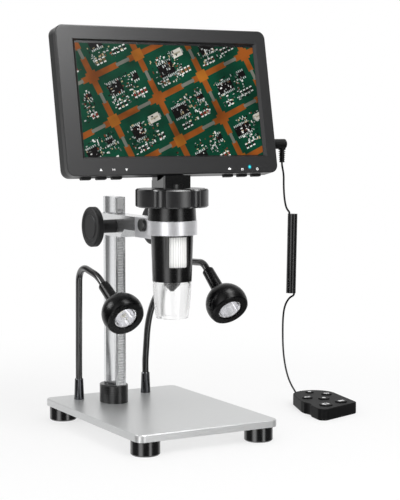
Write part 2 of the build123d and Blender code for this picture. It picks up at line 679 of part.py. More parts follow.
def shaft_bushes():
    """The left bush, and the wide right one that the pinion goes in through."""
    bore = SHAFT_DIA / 2 + RUN
    inner = PINION_FACE / 2 + GAP
    beside_column = COLUMN_WIDTH / 2 + RUN + GAP
    left = bar_x(COLUMN_X - SIDE, COLUMN_X - inner, PINION_Y, PINION_Z, LEFT_BUSH_DIA / 2)
    right = bar_x(COLUMN_X + beside_column, COLUMN_X + SIDE, PINION_Y, PINION_Z, CHAMBER_R)
    hole = bar_x(COLUMN_X - SIDE, COLUMN_X + SIDE, PINION_Y, PINION_Z, bore)
    return [left - hole, right - hole]


def carriage_block():
    """The block on the column, the arm in front of it and the tongue in the clamp."""
    x0, x1 = COLUMN_X - SIDE, COLUMN_X + SIDE
    y1, y0 = CARRIAGE_BACK, CARRIAGE_FRONT
    z0, z1 = CARRIAGE_BOTTOM, CARRIAGE_TOP
    side_view = [
        (y1, z0), (y1, z1), (SHANK_BACK + GAP, z1), (SHANK_BACK + GAP, ARM_BOTTOM),
        (y0 - GUSSET_LENGTH, ARM_BOTTOM), (y0, z0),
    ]
    body = Plane.YZ * extrude(make_face(Polyline(*side_view, close=True)), SIDE, both=True)
    body = Pos(COLUMN_X, 0, 0) * body
    back = body.edges().filter_by(Axis.Z).group_by(Axis.Y)[-1]
    body = fillet(back, CARRIAGE_EDGE)
    body -= Pos(0, 0, z0) * extrude(column_outline(RUN), CARRIAGE_HEIGHT)
    body -= bar_x(COLUMN_X - PINION_FACE / 2 - GAP, x1, PINION_Y, PINION_Z, CHAMBER_R)
    body -= bar_x(x0, COLUMN_X, PINION_Y, PINION_Z, LEFT_BUSH_DIA / 2)
    half = TONGUE_WIDTH / 2
    end = SHANK_BACK - TONGUE_LENGTH
    body += block(COLUMN_X - half, COLUMN_X + half, end, SHANK_BACK + GAP, ARM_BOTTOM, z1)
    return body - clamp_shank()


def ring_clamp():
    """A split ring on a forked shank; the fork holds the arm's tongue."""
    z0, z1 = ARM_BOTTOM, CARRIAGE_TOP
    body = bar_z(COLUMN_X, HEAD_Y, z0, z1, RING_DIA / 2)
    body = chamfer(body.edges().filter_by(GeomType.CIRCLE), CLAMP_EDGE)
    shank = block(COLUMN_X - SIDE, COLUMN_X + SIDE, HEAD_Y, SHANK_BACK, z0 - SHANK_DROP, z1)
    shank -= bar_z(COLUMN_X, HEAD_Y, z0 - SHANK_DROP, z0, RING_DIA / 2)
    body += shank
    body -= bar_z(COLUMN_X, HEAD_Y, z0 - SHANK_DROP, z1, NECK_DIA / 2 + CLAMP_FIT)
    half = TONGUE_WIDTH / 2 + CLAMP_FIT
    end = SHANK_BACK - TONGUE_LENGTH - GAP
    below = z0 - SHANK_DROP
    body -= block(COLUMN_X - half, COLUMN_X + half, end, SHANK_BACK, below, z1)
    split = CLAMP_SPLIT / 2
    body -= block(COLUMN_X - split, COLUMN_X + split, HEAD_Y, end, below, z1)
    return body - clamp_shank()


def clamp_shank():
    """The clamp screw without its head, across the fork and the tongue."""
    z = (ARM_BOTTOM + CARRIAGE_TOP) / 2
    return bar_x(COLUMN_X - SIDE, COLUMN_X + SIDE, CLAMP_SCREW_Y, z, CLAMP_SCREW_DIA / 2)


def clamp_screw():
    x0, z = COLUMN_X - SIDE, (ARM_BOTTOM + CARRIAGE_TOP) / 2
    head = bar_x(x0 - CLAMP_HEAD_THICK, x0, CLAMP_SCREW_Y, z, CLAMP_HEAD_DIA / 2)
    return clamp_shank() + chamfer(head.edges().group_by(Axis.X)[0], CLAMP_EDGE)


# ---------------------------------------------------------------- camera head
def head_shell():
    """The black housing: a flange on the ring, a neck through it and a tapered body below."""
    flange, flange_top = SHELL_FLANGE_DIA / 2, SHELL_FLANGE_TOP_DIA / 2
    stem_bore = BARREL_STEM_DIA / 2 + RUN * 2
    shoulder = WINDOW_TOP + BARREL_SHOULDER
    body = turned(
        (SHELL_BORE_R, SHELL_BOTTOM), (SHELL_BOTTOM_DIA / 2, SHELL_BOTTOM),
        (SHELL_TOP_DIA / 2, SHELL_NECK_BOTTOM), (NECK_DIA / 2, SHELL_NECK_BOTTOM),
        (NECK_DIA / 2, FLANGE_BOTTOM), (flange, FLANGE_BOTTOM), (flange_top, FLANGE_TOP),
        (stem_bore, FLANGE_TOP), (stem_bore, shoulder), (SHELL_BORE_R, shoulder),
    )
    outer = SHELL_TOP_DIA
    body -= sector(0, outer, WINDOW_BOTTOM, WINDOW_TOP, WINDOW_AZIMUTH, WINDOW_ARC)
    face_r = (SHELL_TOP_DIA + SHELL_BOTTOM_DIA) / 4 - WINDOW_FRAME_DEPTH
    frame_arc = WINDOW_ARC + 2 * WINDOW_FRAME_ARC
    body -= sector(face_r, outer, WINDOW_BOTTOM, WINDOW_TOP, WINDOW_AZIMUTH, frame_arc)
    return HEAD_AT * body


def focus_wheel():
    r = WHEEL_DIA / 2
    body = bar_z(0, 0, WHEEL_BOTTOM, WHEEL_TOP, r)
    half = radians(WHEEL_VALLEY_HALF)
    off = r * cos(half) + sqrt(WHEEL_VALLEY_R**2 - (r * sin(half)) ** 2)
    valley = bar_z(off, 0, WHEEL_BOTTOM, WHEEL_TOP, WHEEL_VALLEY_R)
    start = WHEEL_LOBE_AZIMUTH - 90 + 180 / WHEEL_LOBES
    body -= spun(valley, WHEEL_LOBES, start)
    rims = body.edges().group_by(Axis.Z)
    body = chamfer(rims[0] + rims[-1], WHEEL_EDGE)
    body -= bar_z(0, 0, WHEEL_BOTTOM, BARREL_TOP, BARREL_STEM_DIA / 2)
    return HEAD_AT * (body - bar_z(0, 0, BARREL_TOP, WHEEL_TOP, CORE_DIA / 2 + GAP))


def cam_groove():
    """The blind helical groove in the barrel that the lens cell's pin follows."""
    count = int(2 * (CAM_TURN + CAM_STEP) / CAM_STEP)
    start, end = (CORE_DIA / 2 - 1, 0, 0), (CAM_PIN_REACH + GAP, 0, 0)
    cutter = rod(start, end, CAM_PIN_DIA / 2 + CAM_PLAY)
    cuts = []
    for n in range(count + 1):
        turn = -CAM_TURN - CAM_STEP + n * CAM_STEP
        cuts.append(Pos(0, 0, CAM_Z + CAM_LEAD * turn / 360) * Rot(0, 0, 90 - turn) * cutter)
    return cuts


def focus_barrel():
    """Ribbed drum behind the shell's window; its stem carries the focus wheel."""
    drum, stem = BARREL_RIB_DIA / 2, BARREL_STEM_DIA / 2
    shoulder = WINDOW_TOP + BARREL_SHOULDER - GAP
    body = turned(
        (CORE_DIA / 2 + RUN, BARREL_BOTTOM), (drum, BARREL_BOTTOM), (drum, shoulder),
        (stem, shoulder), (stem, BARREL_TOP), (CORE_DIA / 2 + RUN, BARREL_TOP),
    )
    side = BARREL_RIB_CUT / 2
    cut = block(drum - BARREL_RIB_DEPTH, drum + 1, -side, side, BARREL_BOTTOM, shoulder)
    body -= spun(cut, BARREL_RIBS)
    return HEAD_AT * (body - cam_groove())


def core_tube():
    """The fixed tube that the barrel turns on and the lens cell slides in."""
    bore, outer = CORE_BORE_R, CORE_DIA / 2
    body = turned(
        (bore, CORE_BOTTOM), (SHELL_BORE_R, CORE_BOTTOM),
        (SHELL_BORE_R, CORE_BOTTOM + CORE_FLANGE_THICK), (outer, CORE_BOTTOM + CORE_FLANGE_THICK),
        (outer, CORE_TOP), (bore, CORE_TOP),
    )
    half, reach = CAM_PIN_DIA / 2 + CAM_PLAY, CAM_RISE + CAM_PIN_DIA / 2 + GAP
    slot = block(-half, half, bore - 1, outer + 1, CAM_Z - reach, CAM_Z + reach)
    return HEAD_AT * (body - slot)


def nose_tip_z():
    return SHELL_BOTTOM + CELL_UP - NOSE_STRAIGHT - (NOSE_DIA - NOSE_TIP_DIA) / 2


def lens_cell():
    """The sliding cell, with its black nose below the shell and its cam pin at the back."""
    bottom = SHELL_BOTTOM + CELL_UP
    top = bottom + CELL_LENGTH
    outer, bore = CORE_BORE_R - RUN, CORE_BORE_R - RUN - CELL_WALL
    nose, tip = NOSE_DIA / 2, NOSE_TIP_DIA / 2
    cone_top = bottom - NOSE_STRAIGHT
    tip_z = nose_tip_z()
    seat = tip_z + LENS_UP - NOSE_TIP
    body = turned(
        (APERTURE_DIA / 2, tip_z - NOSE_TIP), (tip - 0.6, tip_z - NOSE_TIP), (tip, tip_z),
        (nose, cone_top), (nose, bottom), (outer, bottom), (outer, top), (bore, top),
        (bore, bottom + NOSE_WALL), (nose - NOSE_WALL, bottom + NOSE_WALL),
        (nose - NOSE_WALL, cone_top + NOSE_WALL / 2),
        (LENS_DIA / 2, seat + LENS_THICK), (LENS_DIA / 2, seat), (APERTURE_DIA / 2, seat),
    )
    pin = rod((0, outer - 0.5, CAM_Z), (0, CAM_PIN_REACH, CAM_Z), CAM_PIN_DIA / 2)
    return HEAD_AT * (body + pin)


def lens_glass():
    """The front lens in the nose and the rear lens in the cell."""
    seat = nose_tip_z() + LENS_UP - NOSE_TIP
    front = bar_z(0, 0, seat, seat + LENS_THICK, LENS_DIA / 2)
    z = SHELL_BOTTOM + CELL_UP + NOSE_WALL
    rear = bar_z(0, 0, z, z + REAR_LENS_THICK, CORE_BORE_R - RUN - CELL_WALL)
    return [HEAD_AT * front, HEAD_AT * rear]


def sensor_board():
    z = CORE_TOP - SENSOR_BELOW_TOP
    board = bar_z(0, 0, z, z + SENSOR_BOARD_THICK, CORE_BORE_R)
    half = SENSOR_SIZE / 2
    return HEAD_AT * (board + block(-half, half, -half, half, z - SENSOR_THICK, z))


def led_ring():
    z1 = CORE_BOTTOM
    z0 = z1 - LED_BOARD_THICK
    board = ring(LED_RING_BORE / 2, LED_RING_DIA / 2, z0, z1)
    middle, half = (LED_RING_BORE + LED_RING_DIA) / 4, LED_SIZE / 2
    led = block(middle - half, middle + half, -half, half, z0 - LED_THICK, z0)
    return HEAD_AT * (board + spun(led, LED_COUNT))


def light_hood():
    """The clear skirt below the shell, open at the bottom, with a spigot up into the shell."""
    top, bottom = SHELL_BOTTOM, SHELL_BOTTOM - HOOD_LENGTH
    r_top, r_bottom = HOOD_TOP_DIA / 2, HOOD_BOTTOM_DIA / 2
    middle = ((r_top + r_bottom) / 2 + HOOD_BULGE, (top + bottom) / 2)

    def wall(inset):
        start, end = (r_top - inset, 0, top), (r_bottom - inset, 0, bottom)
        return ThreePointArc(start, (middle[0] - inset, 0, middle[1]), end)

    outer, inner = wall(0), wall(HOOD_WALL)
    lines = [
        outer, inner,
        Line((r_top, 0, top), (r_top - HOOD_WALL, 0, top)),
        Line((r_bottom, 0, bottom), (r_bottom - HOOD_WALL, 0, bottom)),
    ]
    skirt = revolve(make_face(lines), Axis.Z)
    skirt = fillet(skirt.edges().group_by(Axis.Z)[0], HOOD_LIP)
    shelf = LED_RING_DIA / 2 + 0.1
    skirt += ring(shelf, r_top, top - HOOD_SHELF, top)
    return HEAD_AT * (skirt + ring(shelf, SHELL_BORE_R, top, top + HOOD_SPIGOT))


# ---------------------------------------------------------------- neck and monitor
def neck_block():
    """The foot on the core tube, hollowed to clear the monitor, and the hinge tongue."""
    y = HEAD_Y + NECK_BACK
    half_w, half_d = NECK_WIDTH / 2, NECK_DEPTH / 2
    axis_at = (AXIS_Y, AXIS_Z)
    foot = block(COLUMN_X - half_w, COLUMN_X + half_w, y - half_d, y + half_d, NECK_BOTTOM, AXIS_Z)
    foot = fillet(foot.edges().filter_by(Axis.Z), NECK_EDGE)
    foot -= bar_x(COLUMN_X - NECK_WIDTH, COLUMN_X + NECK_WIDTH, *axis_at, SEAT_R)
    half_y = NECK_TONGUE_DEPTH / 2
    x0, x1 = COLUMN_X - half_w, COLUMN_X + half_w
    foot += block(x0, x1, AXIS_Y - half_y, AXIS_Y + half_y, CORE_TOP + 1, AXIS_Z)
    foot += bar_x(x0, x1, *axis_at, TONGUE_EYE_DIA / 2)
    foot -= bar_x(x0, x1, *axis_at, HINGE_PIN_DIA / 2)
    return foot - HEAD_AT * bar_z(0, 0, NECK_BOTTOM, CORE_TOP, CORE_DIA / 2)


def hinge_pin():
    reach = NECK_WIDTH / 2 + GAP + LUG_WIDTH
    return bar_x(COLUMN_X - reach, COLUMN_X + reach, AXIS_Y, AXIS_Z, HINGE_PIN_DIA / 2)


def monitor_slab(y0, y1, inset=0.0):
    """A rounded slab of the monitor's outline, between two depths."""
    width, height = MONITOR_WIDTH - 2 * inset, MONITOR_HEIGHT - 2 * inset
    outline = RectangleRounded(width, height, MONITOR_CORNER_R - inset)
    middle = (MONITOR_BOTTOM + MONITOR_TOP) / 2
    return Pos(0, y1, middle) * Rot(90, 0, 0) * extrude(outline, y1 - y0)


def screen_outline(y, bevel):
    """The screen's opening at a depth, drawn in by a part of its bevel."""
    middle = (SCREEN_RIGHT, y, MONITOR_BOTTOM + FRAME_BOTTOM + SCREEN_HEIGHT / 2)
    width, height = SCREEN_WIDTH - 2 * bevel * BEVEL_SIDE, SCREEN_HEIGHT - 2 * bevel * BEVEL_END
    return Plane(origin=middle, x_dir=(1, 0, 0), z_dir=(0, 1, 0)) * Rectangle(width, height)


def screen_opening():
    """The bezel's opening: sloped down to the glass and straight behind it."""
    glass = FRONT_Y + SCREEN_SUNK
    slope = loft([screen_outline(FRONT_Y, 0), screen_outline(glass, 1)])
    return slope + extrude(screen_outline(glass, 1), FRONT_WALL - SCREEN_SUNK)


def case_screw_places():
    middle = (MONITOR_BOTTOM + MONITOR_TOP) / 2
    places = corner_screws(MONITOR_WIDTH, MONITOR_HEIGHT, CASE_SCREW_INSET)
    return [(x, middle + z) for x, z in places]


def front_bezel():
    """The dark front frame, with the sides' front strip and the screw bosses."""
    body = monitor_slab(FRONT_Y, PARTING_Y)
    body = fillet(body.edges().group_by(Axis.Y)[0], MONITOR_EDGE)
    body -= monitor_slab(FRONT_Y + FRONT_WALL, PARTING_Y, MONITOR_WALL)
    body -= screen_opening()
    front = FRONT_Y + FRONT_WALL
    for x, z in case_screw_places():
        body += rod((x, front, z), (x, PARTING_Y, z), CASE_BOSS_DIA / 2)
        body -= rod((x, front, z), (x, PARTING_Y, z), CASE_SCREW_DIA / 2)
    body -= panel_body()
    return MONITOR_AT * body


def panel_body():
    z0 = MONITOR_BOTTOM + FRAME_BOTTOM - PANEL_MARGIN_BOTTOM
    z1 = MONITOR_BOTTOM + FRAME_BOTTOM + SCREEN_HEIGHT + PANEL_MARGIN_TOP
    half = SCREEN_WIDTH / 2 + PANEL_MARGIN_X
    x0, x1 = SCREEN_RIGHT - half, SCREEN_RIGHT + half
    return block(x0, x1, FRONT_Y + FRONT_WALL, PANEL_BACK, z0, z1)


def screen_panel():
    """The LCD module, whose glass stands in the bezel's opening."""
    glass = extrude(screen_outline(FRONT_Y + SCREEN_SUNK, 1), FRONT_WALL - SCREEN_SUNK)
    return MONITOR_AT * (panel_body() + glass)


def post_places():
    """Where the rear shell's posts carry the main board."""
    x, z0 = BOARD_WIDTH / 2 - POST_DIA, BOARD_UP + POST_DIA
    z1 = BOARD_UP + BOARD_HEIGHT - POST_DIA
    return [(-x, z0), (x, z0), (x, z1), (-x, z1)]


def key_places():
    """The x of each key on the monitor's bottom face, and the x of each group's middle."""
    places = []
    for middle in KEY_MIDDLES:
        for n in range(KEYS_PER_SIDE):
            places.append(middle + (n - (KEYS_PER_SIDE - 1) / 2) * KEY_PITCH)
    return places


def bulge(grow):
    """The raised middle of the rear shell; grow is negative for the hollow inside it."""
    half = BULGE_WIDTH / 2 + grow
    z0, z1 = BULGE_BOTTOM - grow, BULGE_BOTTOM + BULGE_HEIGHT + grow
    return block(-half, half, BACK_Y - MONITOR_WALL, BULGE_BACK + grow, z0, z1)


def rear_shell():
    """The rear cover with its bulge, hinge lugs and slot, posts, vents and key holes."""
    body = monitor_slab(PARTING_Y, BACK_Y)
    body = fillet(body.edges().group_by(Axis.Y)[-1], MONITOR_EDGE * 2)
    raised = bulge(0)
    body += chamfer(raised.edges().group_by(Axis.Y)[-1], BULGE_EDGE)
    body -= monitor_slab(PARTING_Y, INSIDE_BACK, MONITOR_WALL)
    body -= bulge(-MONITOR_WALL)
    lug_in = NECK_WIDTH / 2 + GAP
    lug_out = lug_in + LUG_WIDTH
    eye = TONGUE_EYE_DIA / 2
    for x0, x1 in ((-lug_out, -lug_in), (lug_in, lug_out)):
        body += bar_x(x0, x1, 0, 0, eye)
        body += block(x0, x1, 0, BACK_Y, -eye, eye)
    slot_top = eye + 2 * GAP
    body -= block(-lug_in, lug_in, PARTING_Y, BACK_Y + eye, MONITOR_BOTTOM, slot_top)
    body -= bar_x(-lug_out, lug_out, 0, 0, HINGE_PIN_DIA / 2 + RUN)
    for x, z in post_places():
        body += rod((x, BOARD_BACK, z), (x, BULGE_BACK - MONITOR_WALL, z), POST_DIA / 2)
    for x, z in case_screw_places():
        body += rod((x, PARTING_Y, z), (x, BACK_Y, z), CASE_BOSS_DIA / 2)
        body -= rod((x, PARTING_Y, z), (x, BACK_Y, z), CASE_SCREW_DIA / 2)
        head = CASE_SCREW_HEAD_DIA / 2
        body -= rod((x, BACK_Y - CASE_SCREW_HEAD, z), (x, BACK_Y, z), head)
    half_w, half_d = KEY_WIDTH / 2 + KEY_HOLE_GAP, KEY_DEPTH / 2 + KEY_HOLE_GAP
    for x in key_places():
        z1 = MONITOR_BOTTOM + MONITOR_WALL
        body -= block(x - half_w, x + half_w, KEY_Y - half_d, KEY_Y + half_d, MONITOR_BOTTOM, z1)
    for n in range(VENT_COUNT):
        x = (n - (VENT_COUNT - 1) / 2) * VENT_PITCH - VENT_WIDTH / 2
        z = BULGE_BOTTOM + BULGE_HEIGHT - BULGE_EDGE - 1.5 * VENT_LENGTH
        y0, y1 = BULGE_BACK - MONITOR_WALL, BULGE_BACK
        body -= block(x, x + VENT_WIDTH, y0, y1, z, z + VENT_LENGTH)
    side = MONITOR_WIDTH / 2
    body -= bar_x(side - MONITOR_WALL, side, 0, 0, PLUG_PIN_DIA / 2 + PLUG_PIN_GAP)
    return MONITOR_AT * body


def main_board():
    """The board behind the panel, its tab at the right side and the handset's jack on it."""
    half = BOARD_WIDTH / 2
    body = block(-half, half, BOARD_FRONT, BOARD_BACK, BOARD_UP, BOARD_UP + BOARD_HEIGHT)
    inside = MONITOR_WIDTH / 2 - MONITOR_WALL
    tab = JACK_TAB_WIDTH
    tab_x = inside - GAP - tab
    body += block(tab_x, tab_x + tab, BOARD_FRONT, BOARD_BACK, -JACK_HEIGHT, BOARD_UP + tab)
    body += block(half - 1, tab_x + tab, BOARD_FRONT, BOARD_BACK, BOARD_UP, BOARD_UP + tab)
    jack_z = JACK_HEIGHT / 2
    body += block(inside - JACK_LENGTH, inside, BOARD_BACK, INSIDE_BACK, -jack_z, jack_z)
    return MONITOR_AT * (body - bar_x(inside - JACK_LENGTH, inside, 0, 0, JACK_BORE_DIA / 2))


def key_boards():
    """Two strips with the switches that the bottom keys press, on the shell's back wall."""
    z0 = MONITOR_BOTTOM + KEY_BOARD_UP
    half = KEY_BOARD_LENGTH / 2
    strips = []
    for middle in KEY_MIDDLES:
        y0 = KEY_Y - KEY_DEPTH / 2 - KEY_FLANGE
        strip = block(middle - half, middle + half, y0, INSIDE_BACK, z0, z0 + KEY_BOARD_THICK)
        strips.append(MONITOR_AT * strip)
    return strips


def battery():
    """A flat cell on the inside of the bulge."""
    half, y1 = BATTERY_WIDTH / 2, BULGE_BACK - MONITOR_WALL
    middle = BULGE_BOTTOM + BULGE_HEIGHT / 2 - VENT_LENGTH / 2
    z0, z1 = middle - BATTERY_HEIGHT / 2, middle + BATTERY_HEIGHT / 2
    return MONITOR_AT * block(-half, half, y1 - BATTERY_THICK, y1, z0, z1)


def case_screws():
    screws = []
    for x, z in case_screw_places():
        front = FRONT_Y + FRONT_WALL
        shank = rod((x, front, z), (x, BACK_Y, z), CASE_SCREW_DIA / 2)
        head = rod((x, BACK_Y - CASE_SCREW_HEAD, z), (x, BACK_Y, z), CASE_SCREW_HEAD_DIA / 2)
        screws.append(MONITOR_AT * (shank + head))
    return screws


def monitor_key(x):
    """One key: a cap below the bottom face, a flange above it and a stem up to its switch."""
    half_w, half_d = KEY_WIDTH / 2, KEY_DEPTH / 2
    z0, inside = MONITOR_BOTTOM - KEY_STANDS, MONITOR_BOTTOM + MONITOR_WALL + KEY_LIFT
    body = block(x - half_w, x + half_w, KEY_Y - half_d, KEY_Y + half_d, z0, inside)
    body = chamfer(body.edges().group_by(Axis.Z)[0], KEY_EDGE)
    wide, deep = half_w + KEY_FLANGE, half_d + KEY_FLANGE
    top = inside + KEY_FLANGE_THICK
    body += block(x - wide, x + wide, KEY_Y - deep, KEY_Y + deep, inside, top)
    stem_top = MONITOR_BOTTOM + KEY_BOARD_UP - KEY_TRAVEL - KEY_REST_GAP
    return MONITOR_AT * (body + bar_z(x, KEY_Y, top, stem_top, KEY_STEM_DIA / 2))


# ---------------------------------------------------------------- lamps
def ferrule_places():
    return [LAMPS_X - LAMPS_APART / 2, LAMPS_X + LAMPS_APART / 2]


def lamp_ferrules():
    """Tapered sockets on the base plate, each with a stud through it."""
    top = BASE_TOP + FERRULE_HEIGHT
    low, high = FERRULE_BOTTOM_DIA / 2, FERRULE_TOP_DIA / 2
    stud = FERRULE_STUD_DIA / 2
    bore = TUBE_R + RUN
    body = turned(
        (0, FOOT_HEIGHT), (stud, FOOT_HEIGHT), (stud, BASE_TOP), (low, BASE_TOP),
        (high, top - FERRULE_EDGE), (high - FERRULE_EDGE / 2, top),
        (bore, top), (bore, BASE_TOP + NECK_TUBE_UP), (0, BASE_TOP + NECK_TUBE_UP),
    )
    return [Pos(x, LAMPS_Y, 0) * body for x in ferrule_places()]


def behind_lamp(ball, dip, distance):
    """A point on a lamp's axis, behind its ball."""
    x, y, z = ball
    return (x, y + distance * cos(radians(dip)), z + distance * sin(radians(dip)))


def lamp_pivot(clearance):
    """The gooseneck's round end with the pin that the lamp tilts on, grown by a clearance."""
    reach = SLEEVE_MOUTH_DIA / 2 - TILT_PIN_SHORT
    pin = bar_x(-reach, reach, 0, 0, TILT_PIN_DIA / 2 + clearance * RUN / SEAT_GAP)
    return Sphere(TUBE_R + clearance) + pin


def left_gooseneck():
    pivot = behind_lamp(LEFT_LAMP_AT, LEFT_LAMP_DIP, SLEEVE_LENGTH - SEAT_IN)
    run_in = behind_lamp(LEFT_LAMP_AT, LEFT_LAMP_DIP, SLEEVE_LENGTH - SEAT_IN + LEFT_RUN_IN)
    x = ferrule_places()[0]
    foot = (x, LAMPS_Y, BASE_TOP + NECK_TUBE_UP)
    route = [foot, (x, LAMPS_Y, LEFT_LEAN_Z), LEFT_CROWN, run_in, pivot]
    return tube(route, TUBE_R) + Pos(*pivot) * lamp_pivot(0)


def right_gooseneck():
    pivot = behind_lamp(RIGHT_LAMP_AT, RIGHT_LAMP_DIP, SLEEVE_LENGTH - SEAT_IN)
    run_in = behind_lamp(RIGHT_LAMP_AT, RIGHT_LAMP_DIP, SLEEVE_LENGTH - SEAT_IN + RIGHT_RUN_IN)
    x = ferrule_places()[1]
    foot = (x, LAMPS_Y, BASE_TOP + NECK_TUBE_UP)
    risen = (x, LAMPS_Y, BASE_TOP + FERRULE_HEIGHT + RIGHT_RISE)
    route = [foot, risen, RIGHT_LEAN, RIGHT_SHOULDER, RIGHT_CROWN, run_in, pivot]
    return tube(route, TUBE_R) + Pos(*pivot) * lamp_pivot(0)


def lamp_frame(ball, dip):
    """Turns a lamp drawn with its front at +Z to face forward and down by dip."""
    return Pos(*ball) * Rot(90 + dip, 0, 0)


def lamp_shell():
    """A ball with a flat front and a sleeve behind, drawn with its front at +Z."""
    root = -sqrt(LAMP_R**2 - SLEEVE_ROOT_DIA**2 / 4)
    body = Sphere(LAMP_R) - block(-LAMP_R, LAMP_R, -LAMP_R, LAMP_R, LAMP_FACE, LAMP_R + 1)
    body = chamfer(body.edges().group_by(Axis.Z)[-1], LAMP_EDGE)
    body += rod((0, 0, -SLEEVE_LENGTH), (0, 0, root), SLEEVE_MOUTH_DIA / 2, SLEEVE_ROOT_DIA / 2)
    seat = LAMP_FACE - LENS_RECESS - LAMP_LENS_THICK
    inner = LAMP_R - LAMP_WALL
    body -= Sphere(inner) - block(-LAMP_R, LAMP_R, -LAMP_R, LAMP_R, seat - LAMP_LIP, LAMP_R)
    lens_r = LAMP_LENS_DIA / 2
    body -= bar_z(0, 0, seat, LAMP_FACE, lens_r)
    body -= bar_z(0, 0, seat - LAMP_LIP, seat, lens_r - LAMP_LEDGE)
    pivot = SEAT_IN - SLEEVE_LENGTH
    body -= Pos(0, 0, pivot) * lamp_pivot(SEAT_GAP)
    slope = tan(radians(LAMP_TILT + THROAT_SPARE))
    throat = SEAT_BALL_R / cos(radians(LAMP_TILT + THROAT_SPARE))
    body -= rod((0, 0, pivot), (0, 0, -SLEEVE_LENGTH - 0.01), throat, throat + SEAT_IN * slope)
    return body - bar_z(0, 0, pivot, 1 - inner, LAMP_WIRE_R)


def lamp_reflector():
    """A dish with the LED at its bottom, drawn with its front at +Z."""
    front = LAMP_FACE - LENS_RECESS - LAMP_LENS_THICK
    back = front - REFLECTOR_DEPTH
    rim, neck, wall = LAMP_LENS_DIA / 2 - LAMP_LEDGE, REFLECTOR_NECK_DIA / 2, REFLECTOR_WALL
    steps = 6
    inside = []
    for n in range(steps + 1):
        part = n / steps
        inside.append((neck + (rim - wall - neck) * part, back + REFLECTOR_DEPTH * part**2))
    outside = [(r + wall, z) for r, z in reversed(inside)]
    dish = turned((0, back), *inside, *outside, (neck + wall, back - wall), (0, back - wall))
    return dish + bar_z(0, 0, back, back + LAMP_LED_HEIGHT, LAMP_LED_DIA / 2)


def lamp_lens():
    """A clear window, slightly crowned, drawn with its front at +Z."""
    z0 = LAMP_FACE - LENS_RECESS - LAMP_LENS_THICK
    r, edge = LAMP_LENS_DIA / 2, LAMP_FACE - LENS_RECESS
    rise = LAMP_LENS_CROWN + LAMP_LENS_BEVEL
    low, high = (r, 0, edge - LAMP_LENS_BEVEL), (0, 0, edge + LAMP_LENS_CROWN)
    crown_r = (rise**2 + r**2) / (2 * rise)
    half = asin(r / crown_r) / 2
    middle = (crown_r * sin(half), 0, high[2] - crown_r * (1 - cos(half)))
    lines = [
        ThreePointArc(low, middle, high), Line(high, (0, 0, z0)), Line((0, 0, z0), (r, 0, z0)),
        Line((r, 0, z0), low),
    ]
    return revolve(make_face(lines), Axis.Z)


def power_box():
    """The lamps' power supply under the plate, with its inlet at the back."""
    y1 = BASE_DEPTH / 2 - POWER_BOX_INSET
    y0, half = y1 - POWER_BOX_DEPTH, POWER_BOX_WIDTH / 2
    z0 = FOOT_HEIGHT - POWER_BOX_HEIGHT
    body = block(-half, half, y0, y1, z0, FOOT_HEIGHT)
    body = chamfer(body.edges().group_by(Axis.Z)[0], POWER_BOX_EDGE)
    z = FOOT_HEIGHT - POWER_BOX_HEIGHT / 2
    return body - rod((0, y1 - INLET_DEPTH, z), (0, y1, z), INLET_DIA / 2)


# ---------------------------------------------------------------- handset
def handset_outline(inset):
    """The plan of the handset, drawn in by inset."""
    circles = Sketch()
    for (x, y), r in (
        (HANDSET_REAR, HANDSET_REAR_R), (HANDSET_SIDE, HANDSET_SIDE_R),
        (HANDSET_TOE, HANDSET_TOE_R), (HANDSET_HEEL, HANDSET_HEEL_R),
    ):
        circles += Pos(x, y) * Circle(r - inset)
    outline = make_hull(circles.edges())
    return outline - Pos(*HANDSET_WAIST) * Circle(HANDSET_WAIST_R + inset)


def handset_slab(z0, z1, inset=0.0):
    return Pos(0, 0, z0) * extrude(handset_outline(inset), z1 - z0)


def cord_hole():
    """The hole in the handset's wall, along the cord's own last bend."""
    return tube(lower_route()[-3:], CORD_DIA / 2 + CORD_HOLE_GAP)


def cord_anchor():
    """The post inside the handset that the cord's end is held against."""
    end = Vector(*CORD_ENTRY)
    inward = (end - Vector(*LOWER_ROUTE[-1])).normalized()
    foot = end + inward * (end.Z - HANDSET_FLOOR) / -inward.Z
    return rod(tuple(end), tuple(foot), CORD_DIA)


def handset_base():
    body = handset_slab(0, HANDSET_PARTING)
    body = chamfer(body.edges().group_by(Axis.Z)[0], HANDSET_BASE_EDGE)
    body -= handset_slab(HANDSET_FLOOR, HANDSET_PARTING, HANDSET_WALL)
    ledge = handset_slab(HANDSET_FLOOR, HANDSET_BOARD_Z, HANDSET_WALL)
    ledge -= handset_slab(HANDSET_FLOOR, HANDSET_BOARD_Z, HANDSET_WALL + HANDSET_LEDGE)
    return body + ledge + cord_anchor() - cord_hole()


def handset_cover():
    body = handset_slab(HANDSET_PARTING, HANDSET_HEIGHT)
    body = chamfer(body.edges().group_by(Axis.Z)[-1], HANDSET_EDGE / 2)
    under = HANDSET_HEIGHT - HANDSET_TOP
    body -= handset_slab(HANDSET_PARTING, under, HANDSET_WALL)
    for _, x, y, dia in HANDSET_KEYS:
        body -= bar_z(x, y, under, HANDSET_HEIGHT, dia / 2 + KEY_HOLE_GAP)
    return body - cord_hole()


def handset_board():
    z1 = HANDSET_BOARD_Z + HANDSET_BOARD_THICK
    body = handset_slab(HANDSET_BOARD_Z, z1, HANDSET_WALL + HANDSET_BOARD_GAP)
    return body - Pos(*CORD_ENTRY) * Box(CORD_BAY, CORD_BAY, CORD_BAY / 4)


